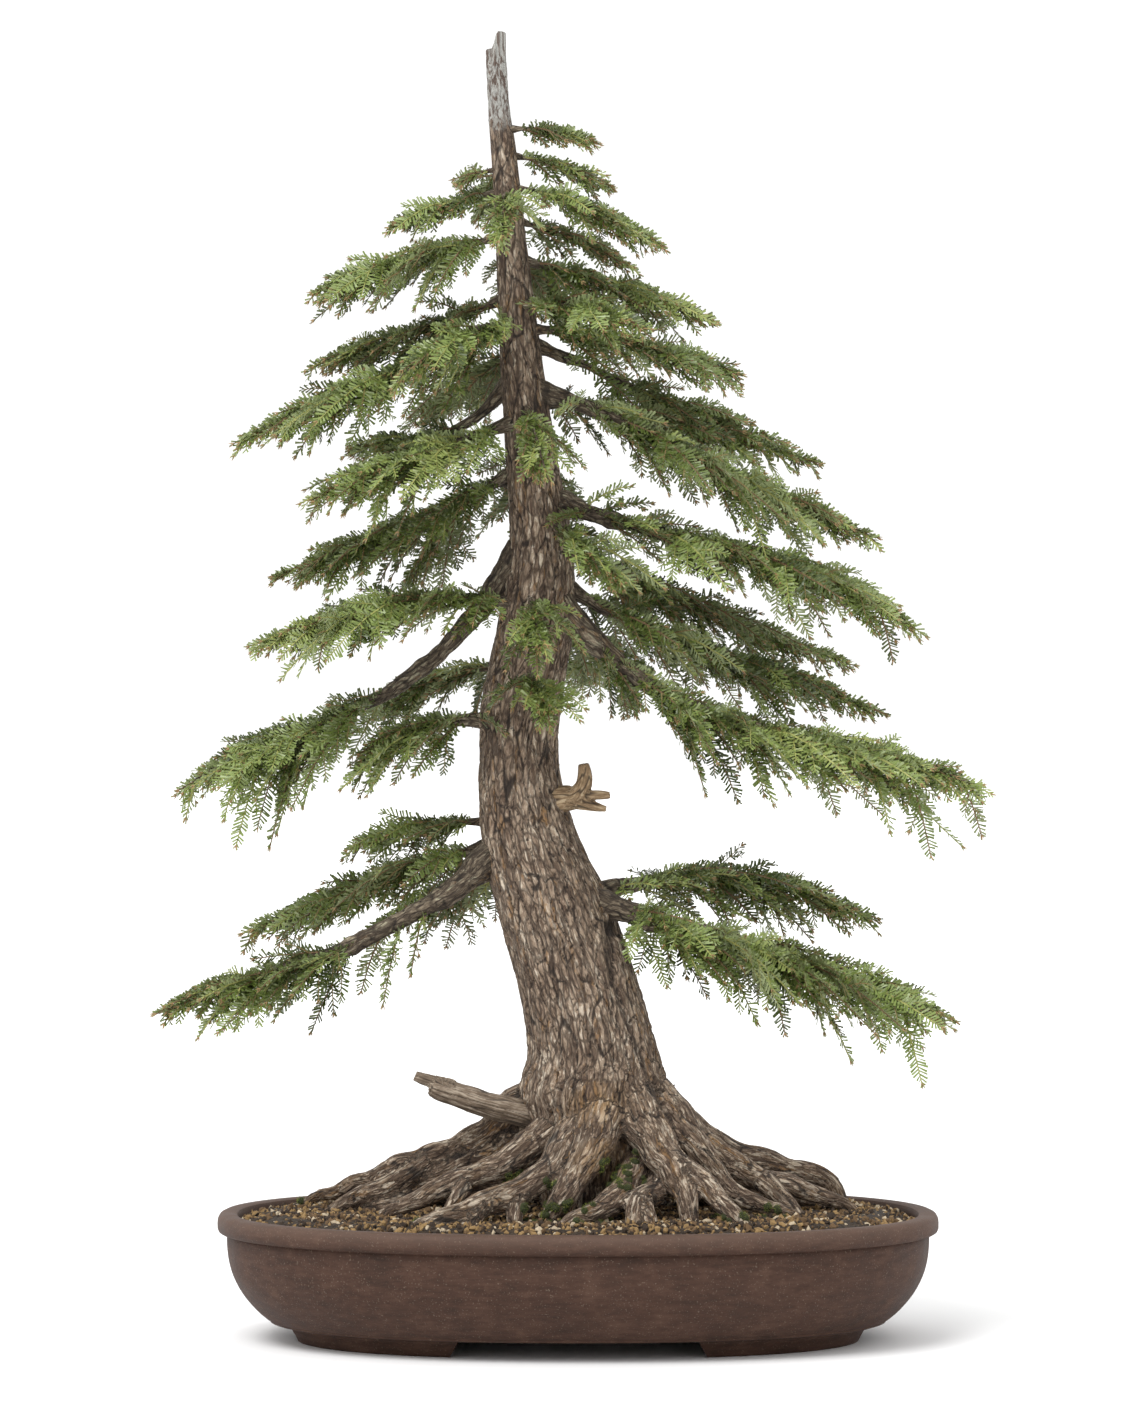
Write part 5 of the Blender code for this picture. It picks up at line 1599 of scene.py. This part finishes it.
# The needles' colours are lit and shaded copies, dealt out to each spray by painted light; the brightest is
# partly new growth.
SHADES = ("deep", "middle", "bright", "young")
SHADE_LIMITS = (0.0, 0.70, 1.75)
Shoot = namedtuple("Shoot", "points across girth order shade owner")
Pendant = namedtuple("Pendant", "share length side")
Sprig = namedtuple("Sprig", "share bearing rise length")

# How far each mass hangs, how early it thins out and how far it stands where it isn't as the rest,
# and its longest hanging sprays: where along the bough, how long, and to the front (-1) or back (1).
HANGS = {"left_07": 1.2, "left_12": 1.2, "right_15": 1.2, "right_16": 1.1}
SLENDERS = {"left_11": 0.30, "left_15": 0.42, "left_10": 0.42, "right_12": 0.42}
STANDS = {"right_16": 1.3, "right_14": 1.2, "right_15": 1.2, "left_15": 1.3}
PENDANTS = {
    "left_11": (
        Pendant(0.56, 0.070, -1),
        Pendant(0.62, 0.096, -1),
        Pendant(0.68, 0.074, -1),
        Pendant(0.73, 0.082, -1),
        Pendant(0.80, 0.052, -1),
    ),
    "left_15": (Pendant(0.27, 0.052, -1), Pendant(0.33, 0.066, -1), Pendant(0.38, 0.050, 1)),
    "left_07": (Pendant(0.50, 0.050, -1), Pendant(0.66, 0.048, -1)),
    "left_10": (Pendant(0.55, 0.044, -1), Pendant(0.72, 0.040, -1)),
    "right_11": (Pendant(0.60, 0.050, -1), Pendant(0.86, 0.046, 1)),
    "right_14": (
        Pendant(0.46, 0.056, -1),
        Pendant(0.58, 0.062, 1),
        Pendant(0.72, 0.066, -1),
        Pendant(0.80, 0.078, -1),
        Pendant(0.92, 0.046, 1),
    ),
    "right_15": (Pendant(0.45, 0.050, -1), Pendant(0.62, 0.046, -1)),
    "right_16": (
        Pendant(0.40, 0.052, -1),
        Pendant(0.52, 0.068, -1),
        Pendant(0.60, 0.062, 1),
        Pendant(0.76, 0.054, -1),
        Pendant(0.84, 0.070, -1),
    ),
}

# Single sprays that go their own way, across the trunk or back towards it: where along the bough,
# on which bearing, how steeply they start and how long they are.
SPRIGS = {
    "right_16": (
        Sprig(0.21, 222, -22, 0.050),
        Sprig(0.24, 262, 4, 0.062),
        Sprig(0.28, 300, -20, 0.060),
        Sprig(0.21, 322, -50, 0.050),
        Sprig(0.27, 344, -46, 0.055),
    ),
    "right_15": (Sprig(0.18, 322, 22, 0.046), Sprig(0.26, 330, 14, 0.058), Sprig(0.30, 350, 20, 0.050)),
    "right_09": (Sprig(0.16, 250, 8, 0.050), Sprig(0.20, 308, 12, 0.056)),
    "right_08": (Sprig(0.20, 316, 4, 0.048), Sprig(0.27, 350, -24, 0.046)),
    "right_11": (
        Sprig(0.14, 232, 6, 0.052),
        Sprig(0.22, 300, 10, 0.050),
        Sprig(0.12, 338, 40, 0.052),
        Sprig(0.15, 6, 28, 0.050),
    ),
    "right_12": (Sprig(0.22, 296, 8, 0.052), Sprig(0.16, 246, 0, 0.046)),
    "left_10": (Sprig(0.22, 292, 0, 0.050), Sprig(0.30, 246, 4, 0.050)),
    "left_12": (Sprig(0.26, 300, 4, 0.044), Sprig(0.34, 226, -24, 0.058), Sprig(0.42, 196, 8, 0.048)),
    "left_02": (Sprig(0.30, 228, -40, 0.050), Sprig(0.22, 204, -48, 0.044)),
    "left_03": (Sprig(0.24, 204, 30, 0.045),),
    "left_11": (Sprig(0.62, 232, -56, 0.070),),
}


def bent_line(root, middle, tip, count=LEAD_POINTS):
    """Points along the bend that passes through root, middle and tip."""
    return [on_bend((root, middle, tip), k / (count - 1)) for k in range(count)]


def hung_line(root, way, length, sag, count=LEAD_POINTS):
    """A shoot that starts that way and hangs by that much at its tip."""
    fall = Vector((0.0, 0.0, -sag))
    return bent_line(root, root + way * length / 2 + fall / 4, root + way * length + fall, count)


def point_on(points, u):
    place = u * (len(points) - 1)
    k = min(int(place), len(points) - 2)
    return points[k].lerp(points[k + 1], place - k), (points[k + 1] - points[k]).normalized()


def shade_of(rule, point, outer):
    """Painted light and shade: deep green inside and behind, brighter in front and outside, where there is
    also new growth.
    """
    light = rule.gauss(0.15, 0.60) + 0.75 * outer - 3.0 * point.y
    return sum(light >= limit for limit in SHADE_LIMITS)


class Growth:
    """The shoots of one mass as they grow, with what they keep clear of."""

    def __init__(self, bough, room):
        self.bough = bough
        self.room = room
        self.rule = random.Random("shoots_" + bough.name)
        self.owner = "foliage_" + bough.name
        self.shoots = []

    def add(self, line, lie, girth, order, shade):
        """Grows the shoot unless it would enter the trunk."""
        if self.room.off_trunk(line[len(line) // 2 :]) < SHOOT_CLEARANCE:
            return None
        shoot = Shoot(line, lie, girth, order, shade, self.owner)
        self.shoots.append(shoot)
        return shoot

    def spray(self, line, outer, share=FINE_SHARE, pitch=FINE_PITCH):
        """A leading shoot, rolled a little to either side, with finer ones along it."""
        rule = self.rule
        way = (line[-1] - line[0]).normalized()
        roll = rule.choice((-1, 1)) * rule.uniform(*SPRAY_ROLL)
        lie = lie_of(way, roll) if abs(way.z) < 0.96 else heading(rule.uniform(0, 360))
        lead = self.add(line, lie, LEAD_GIRTH, 1, shade_of(rule, line[-1], outer))
        if lead:
            self.finer(lead, outer, share, pitch)

    def finer(self, parent, outer, share, pitch):
        """Finer shoots, left and right in turn, all along a shoot."""
        rule = self.rule
        length = (parent.points[-1] - parent.points[0]).length
        start, end = FINE_SPAN
        count = int(length * (end - start) / pitch)
        first = rule.randint(0, 1)
        for k in range(count):
            u = start + (end - start) * (k + rule.uniform(0.25, 0.75)) / count
            root, along = point_on(parent.points, u)
            across = (parent.across - along * parent.across.dot(along)).normalized()
            upward = along.cross(across)
            upward = upward if upward.z > 0 else -upward
            side = 1 if (k + first) % 2 else -1
            angle = math.radians(rule.uniform(*FINE_ANGLE))
            way = along * math.cos(angle) + across * side * math.sin(angle)
            way += upward * rule.uniform(-FINE_LIFT, FINE_LIFT)
            reach = length * share * (1.10 - u) * rule.uniform(0.75, 1.2)
            reach = min(FINE_REACH[1], max(FINE_REACH[0], reach))
            line = hung_line(root, way.normalized(), reach, reach * rule.uniform(*FINE_WEEP), FINE_POINTS)
            shade = parent.shade if rule.random() < 0.7 else shade_of(rule, root, outer)
            lie = (across * math.cos(angle) * side - along * math.sin(angle)).normalized()
            roll = math.radians(rule.uniform(-FINE_ROLL, FINE_ROLL))
            lie = Matrix.Rotation(roll, 3, way.normalized()) @ lie
            made = self.add(line, lie, FINE_GIRTH, parent.order + 1, shade)
            if made and reach > FINEST_FROM and parent.order < 3:
                self.finer(made, outer, FINEST_SHARE, FINEST_PITCH)

    def from_stem(self, t, out, turn, reach, sag):
        """A spray that leaves the stem at share t, out degrees off it on the side that turn says."""
        along = bough_way(self.bough, t)
        across = lie_of(along, 0)
        upward = across.cross(along)
        upward = upward if upward.z > 0 else -upward
        aside = across * math.cos(math.radians(turn)) + upward * math.sin(math.radians(turn))
        way = (along * math.cos(math.radians(out)) + aside * math.sin(math.radians(out))).normalized()
        line = hung_line(bough_point(self.bough, t), way, reach, reach * sag)
        self.spray(line, t, FINEST_SHARE, FINEST_PITCH)


def mass_shoots(bough, room):
    """Every shoot of a mass."""
    start = bough.bare if bough.bare > 0.0 else leaves_trunk_at(bough) * 0.6
    shares = stations(bough, start, tip_share(bough))
    growth = Growth(bough, room)
    rule = growth.rule
    slender = SLENDERS.get(bough.name, SLENDER_FROM)

    def kept_at(u):
        """The share of its length that a shoot keeps that far out, as the mass thins to its tip."""
        return 1.0 - SLENDER_LOSS * step_up(u, slender, 1.0)

    for root, middle, tip in side_twigs(bough, shares, room):
        way = (tip - root).normalized()
        outer = Vector((root.x - trunk_centre(root.z).x, root.y)).length / bough.reach
        keep = kept_at(outer)
        middle = root.lerp(middle, keep) - way * NEEDLE_MARGIN / 2
        tip = root.lerp(tip, keep) - way * NEEDLE_MARGIN
        swing = SWING * bough_way(bough, min(outer, 0.98)) * (tip - root).length
        swing.z += max(0.0, SWING_LIFT * (root.z - tip.z))
        line = bent_line(root, middle + swing * 0.4, tip + swing)
        growth.spray(line, outer, FINE_SHARE * (0.5 + keep / 2))
    ends = (tip_share(bough) - 0.04, (tip_share(bough) + 0.96) / 2, 1.0 - NEEDLE_MARGIN / bough.reach)
    growth.spray(bent_line(*(bough_point(bough, t) for t in ends)), 1.0, STEM_TIP_SHARE)

    first = max(start, leaves_trunk_at(bough) * 1.05)
    hang, stand = HANGS.get(bough.name, 1.0), STANDS.get(bough.name, 1.0)
    size = min(1.25, bough.spread / 0.060)

    def shares_every(pitch, early=0.0):
        """Where along the mass shoots leave the stem, how far out that is and what they keep."""
        near = max(first - early, leaves_trunk_at(bough) * 1.2)
        count = int((SHOOTS_TO - near) * bough.reach / pitch)
        outs = [(k + rule.random()) / count for k in range(count)]
        return [(near + (SHOOTS_TO - near) * u, u, kept_at(u)) for u in outs]

    for t, u, keep in shares_every(BETWEEN_PITCH):
        reach = spread_at(bough, u) * rule.uniform(*BETWEEN_SHARE) * keep
        turn = rule.choice((0, 180)) + rule.uniform(*BETWEEN_TURN)
        out = rule.uniform(*BETWEEN_OUT)
        growth.from_stem(t, out, turn, reach, rule.uniform(*BETWEEN_SAG) * bough.weep)
    for t, u, keep in shares_every(UNDER_PITCH):
        reach = rule.uniform(*UNDER_REACH) * size * hang * keep
        out = rule.uniform(*UNDER_OUT)
        growth.from_stem(t, out, -90 + rule.uniform(*UNDER_TURN), reach, rule.uniform(*UNDER_SAG))
    for t, u, keep in shares_every(COVER_PITCH, COVER_EARLY if bough.bare < LONG_BARE else 0.0):
        front, way_round = (0, 1) if bough_way(bough, t).x > 0 else (180, -1)
        if rule.random() < COVER_OVER:
            turn = 90 + rule.uniform(*OVER_TURN)
        else:
            turn = front + way_round * rule.uniform(*COVER_TURN)
        reach = rule.uniform(*COVER_REACH) * size * keep
        growth.from_stem(t, rule.uniform(*COVER_OUT) * stand, turn, reach, rule.uniform(*COVER_SAG))
    for pendant in PENDANTS.get(bough.name, ()):
        along = bough_way(bough, pendant.share)
        side = Vector((along.y, -along.x, 0.0)).normalized()
        side = side if side.y * pendant.side > 0 else -side
        way = along * PENDANT_ALONG + side * PENDANT_ASIDE + Vector((0, 0, -PENDANT_DOWN))
        reach, sag = pendant.length * PENDANT_REACH, pendant.length * PENDANT_SAG
        line = hung_line(bough_point(bough, pendant.share), way.normalized(), reach, sag)
        growth.spray(line, 0.9, PENDANT_SHARE, FINEST_PITCH)
    for sprig in SPRIGS.get(bough.name, ()):
        slope = math.radians(sprig.rise)
        way = heading(sprig.bearing) * math.cos(slope) + Vector((0, 0, math.sin(slope)))
        line = hung_line(bough_point(bough, sprig.share), way, sprig.length, sprig.length * SPRIG_SAG)
        growth.spray(line, 0.6)
    needled = [bough_point(bough, t) for t in np.linspace(STEM_NEEDLES_FROM, tip_share(bough), LEAD_POINTS)]
    growth.add(needled, lie_of((needled[-1] - needled[0]).normalized(), 0), LEAD_GIRTH, 1, 1)
    return growth.shoots


# Needles: blunt, flat and short, in a row on each side of the shoot, with a few shorter ones lying
# along its top. They shorten towards the shoot's tip. Each is a closed blade of four triangles, flat
# and green above and pale below, with its stalk end a little narrower.
NEEDLE_PITCH = 0.0026
NEEDLE_LENGTH = 0.0078
NEEDLE_WIDTH = 0.00180
NEEDLE_THICKNESS = 0.00040
NEEDLE_STALK = 0.62
NEEDLE_BARE = 0.0012
NEEDLE_TOP_SHARE = 0.26
NEEDLE_TOP_SIZE = 0.70
NEEDLE_TOP_TURN = (45, 135)
NEEDLE_SIZE = (0.84, 1.08)
NEEDLE_SHORTENS = 0.012
NEEDLE_ANGLE = (28, 32)
NEEDLE_ANGLE_SPREAD = 5
NEEDLE_ROW_TURN = (10, 16)
NEEDLE_TILT = 0.36
NEEDLE_FACES = (((0, 1, 2), (1, 3, 2)), ((0, 3, 1), (0, 2, 3)))


def unit(vectors):
    return vectors / np.linalg.norm(vectors, axis=-1, keepdims=True)


def squared(along, across):
    """The sideways direction made square to along, and the way up between them."""
    across = unit(across - along * (along * across).sum(axis=-1, keepdims=True))
    return across, np.cross(along, across)


def upright(vectors):
    """1 or -1 for each direction, so that it points up when multiplied by that."""
    return np.sign(vectors[:, 2:] + 1e-9)


def needles_of(shoot, draw):
    """Root, direction, sideways, upward and size of each needle of a shoot, as arrays."""
    points = np.array(shoot.points)
    steps = np.linalg.norm(np.diff(points, axis=0), axis=1)
    ways = np.concatenate([[0.0], np.cumsum(steps)])
    length = ways[-1]
    count = max(4, int((length - NEEDLE_BARE) / NEEDLE_PITCH) * 2)
    tops = int(count * NEEDLE_TOP_SHARE)
    at = np.concatenate([np.linspace(NEEDLE_BARE, length, count), draw.uniform(NEEDLE_BARE, length, tops)])
    at = np.clip(at + draw.uniform(-0.2, 0.2, len(at)) * NEEDLE_PITCH, 0.0, length)
    root = np.stack([np.interp(at, ways, points[:, n]) for n in range(3)], axis=1)
    k = np.clip(np.searchsorted(ways, at) - 1, 0, len(steps) - 1)
    along = np.diff(points, axis=0)[k] / steps[k][:, None]
    across, upward = squared(along, np.array(shoot.across))
    upward *= upright(upward)
    side = np.where(np.arange(count) % 2 == 0, 1.0, -1.0)
    row = np.where(side > 0, 0.0, math.pi) + side * np.radians(draw.normal(*NEEDLE_ROW_TURN, count))
    turn = np.concatenate([row, np.radians(draw.uniform(*NEEDLE_TOP_TURN, tops))])
    out = across * np.cos(turn)[:, None] + upward * np.sin(turn)[:, None]
    left = np.clip((length - at) / NEEDLE_SHORTENS, 0.0, 1.0)
    at_tip, more = NEEDLE_ANGLE
    angle = np.radians(at_tip + more * left + draw.normal(0, NEEDLE_ANGLE_SPREAD, len(at)))
    size = NEEDLE_LENGTH * (0.50 + 0.50 * left) * draw.uniform(*NEEDLE_SIZE, len(at))
    size[count:] *= NEEDLE_TOP_SIZE
    way = along * np.cos(angle)[:, None] + out * np.sin(angle)[:, None]
    wide = along * np.sin(angle)[:, None] - out * np.cos(angle)[:, None]
    face = np.cross(wide, way)
    face *= upright(face)
    tilt = draw.normal(0, NEEDLE_TILT, len(at))[:, None]
    wide = unit(wide * np.cos(tilt) + face * np.sin(tilt))
    face = np.cross(wide, way)
    flip = upright(face)
    return root, way, wide * flip, face * flip, size


def needle_arrays(batches):
    """Points and faces of all those needles: one diagonal of each blade stands over the other."""
    root, way, wide, face, size = [np.concatenate(part) for part in zip(*batches)]
    size = size[:, None]
    width = NEEDLE_WIDTH * np.sqrt(size / NEEDLE_LENGTH) / 2
    stalk, tip, lift = wide * width * NEEDLE_STALK, wide * width, face * NEEDLE_THICKNESS / 2
    end = root + way * size
    points = np.stack([root - stalk - lift, root + stalk + lift, end - tip + lift, end + tip - lift], axis=1)
    top, under = NEEDLE_FACES
    slots = np.tile([0] * len(top) + [1] * len(under), len(root))
    return points.reshape(-1, 3), repeated(top + under, 4, len(root)), slots


room = Room()
shoots = [shoot for bough in BOUGHS for shoot in mass_shoots(bough, room)]
draw = np.random.default_rng(11)
# Lit and shaded copies of the needle colours, as painted light: the darkest is painted shade, the brightest
# partly new growth and partly painted light.
NEEDLE_COLOURS = {
    "deep": ((0.051, 0.075, 0.013), (0.130, 0.157, 0.060)),
    "middle": ((0.111, 0.151, 0.031), (0.224, 0.260, 0.114)),
    "bright": ((0.194, 0.253, 0.066), (0.314, 0.368, 0.176)),
    "young": ((0.250, 0.302, 0.086), (0.356, 0.404, 0.192)),
}
NEEDLE_SHINE = (("top", 0.34), ("underside", 0.55))
needle_finishes = []
for shade in SHADES:
    for (face, roughness), colour in zip(NEEDLE_SHINE, NEEDLE_COLOURS[shade]):
        needle_finishes.append(Finish(f"needle_{shade}_{face}", colour, roughness))

# The masses are joined in tiers, lowest first, so that no piece of needles is too large.
TIERS = (
    ("lowest", 0.40),
    ("low", 0.575),
    ("middle", 0.64),
    ("upper", 0.73),
    ("high", 0.80),
    ("top", 1.00),
)


def tier_of(bough):
    return next(name for name, top in TIERS if bough.height < top)


for tier, _ in TIERS:
    owners = ["foliage_" + bough.name for bough in BOUGHS if tier_of(bough) == tier]
    blades = []
    for n in range(len(SHADES)):
        batches = [needles_of(shoot, draw) for shoot in shoots if shoot.owner in owners and shoot.shade == n]
        if batches:
            points, faces, slots = needle_arrays(batches)
            blades.append((points, faces, slots + 2 * n))
    put(f"needles_{tier}", joined(f"needles_{tier}", blades), needle_finishes, "foliage", owners)

# Twigs: the shoots' own wood, thin and flexible, so that each hangs at its tip. The leading twigs are
# brown, the finer ones tan, and those of the sprays painted brightest yellow-green with this year's
# growth, so that this colour follows the needles' painted light.
TWIG_SIDES = 3
TWIG_TIP = 0.50


def twig_slot(shoot):
    """Brown, tan or yellow-green on the sprays that painted light makes brightest."""
    if shoot.shade > 1:
        return 2
    return 0 if shoot.order == 1 else 1


def twig_arrays(lines):
    """Points, faces and finishes of tapering three-sided twigs, closed at both ends."""
    points = np.array([shoot.points for shoot in lines])
    girths = np.array([shoot.girth for shoot in lines])
    count, stations_each = points.shape[:2]
    along = unit(np.gradient(points, axis=1))
    across, upward = squared(along, np.array([shoot.across for shoot in lines])[:, None])
    taper = np.linspace(1.0, TWIG_TIP, stations_each)[None] * girths[:, None]
    rings = []
    for k in range(TWIG_SIDES):
        turn = 2 * math.pi * k / TWIG_SIDES
        rings.append(points + (across * math.cos(turn) + upward * math.sin(turn)) * taper[..., None])
    made = np.stack(rings, axis=2).reshape(-1, 3)
    shape = []
    for s in range(stations_each - 1):
        for k in range(TWIG_SIDES):
            a, b = s * TWIG_SIDES + k, s * TWIG_SIDES + (k + 1) % TWIG_SIDES
            shape += [(a, b, b + TWIG_SIDES), (a, b + TWIG_SIDES, a + TWIG_SIDES)]
    last = (stations_each - 1) * TWIG_SIDES
    shape += [(0, 2, 1), (last, last + 1, last + 2)]
    slots = np.repeat([twig_slot(shoot) for shoot in lines], len(shape))
    return made, repeated(shape, stations_each * TWIG_SIDES, count), slots


twig_finishes = [
    Finish("brown_twig", (0.160, 0.095, 0.045), 0.7),
    Finish("tan_twig", (0.250, 0.180, 0.075), 0.6),
    Finish("young_twig", (0.330, 0.330, 0.100), 0.55),
]
for name, length in (("twigs", LEAD_POINTS), ("fine_twigs", FINE_POINTS)):
    alike = [shoot for shoot in shoots if len(shoot.points) == length]
    put(name, joined(name, [twig_arrays(alike)]), twig_finishes, "bark")

# Buds: small clusters of brown pointed scales, which close the shoots. Every leading shoot has one,
# and every fourth of the finer shoots on it.
BUD_LENGTH = 0.0034
BUD_WIDTH = 0.00095
BUD_SPREAD = 0.55
BUD_SCALES = 3
BUD_SIZE = (0.80, 1.25)
SCALE_FACES = ((0, 1, 2), (0, 2, 3), (2, 1, 3), (1, 0, 3))


def bud_arrays(lines, draw):
    """Three pointed scales, a slim four-sided form each, that spread from each shoot's tip."""
    ends = np.array([shoot.points[-1] for shoot in lines])
    along = unit(ends - np.array([shoot.points[-2] for shoot in lines]))
    across, upward = squared(along, np.array([shoot.across for shoot in lines]))
    base, corners = draw.uniform(0, 2 * math.pi, len(lines)), []
    for k in range(BUD_SCALES):
        turn = (base + 2 * math.pi * k / BUD_SCALES)[:, None]
        out = across * np.cos(turn) + upward * np.sin(turn)
        round_it = upward * np.cos(turn) - across * np.sin(turn)
        foot = ends - along * BUD_LENGTH * 0.25
        size = BUD_LENGTH * draw.uniform(*BUD_SIZE, len(lines))[:, None]
        corners += [
            foot + round_it * BUD_WIDTH,
            foot - round_it * BUD_WIDTH,
            foot + out * BUD_WIDTH * 1.4 + along * BUD_WIDTH,
            ends + along * size + out * size * BUD_SPREAD,
        ]
    faces = repeated(SCALE_FACES, 4, BUD_SCALES * len(lines))
    return np.stack(corners, axis=1).reshape(-1, 3), faces, 0


budded = [shoot for shoot in shoots if shoot.order == 1]
budded += [shoot for shoot in shoots if shoot.order == 2][::4]
brown_bud = Finish("brown_bud", (0.320, 0.200, 0.092), 0.65)
put("buds", joined("buds", [bud_arrays(budded, draw)]), [brown_bud], "bark")
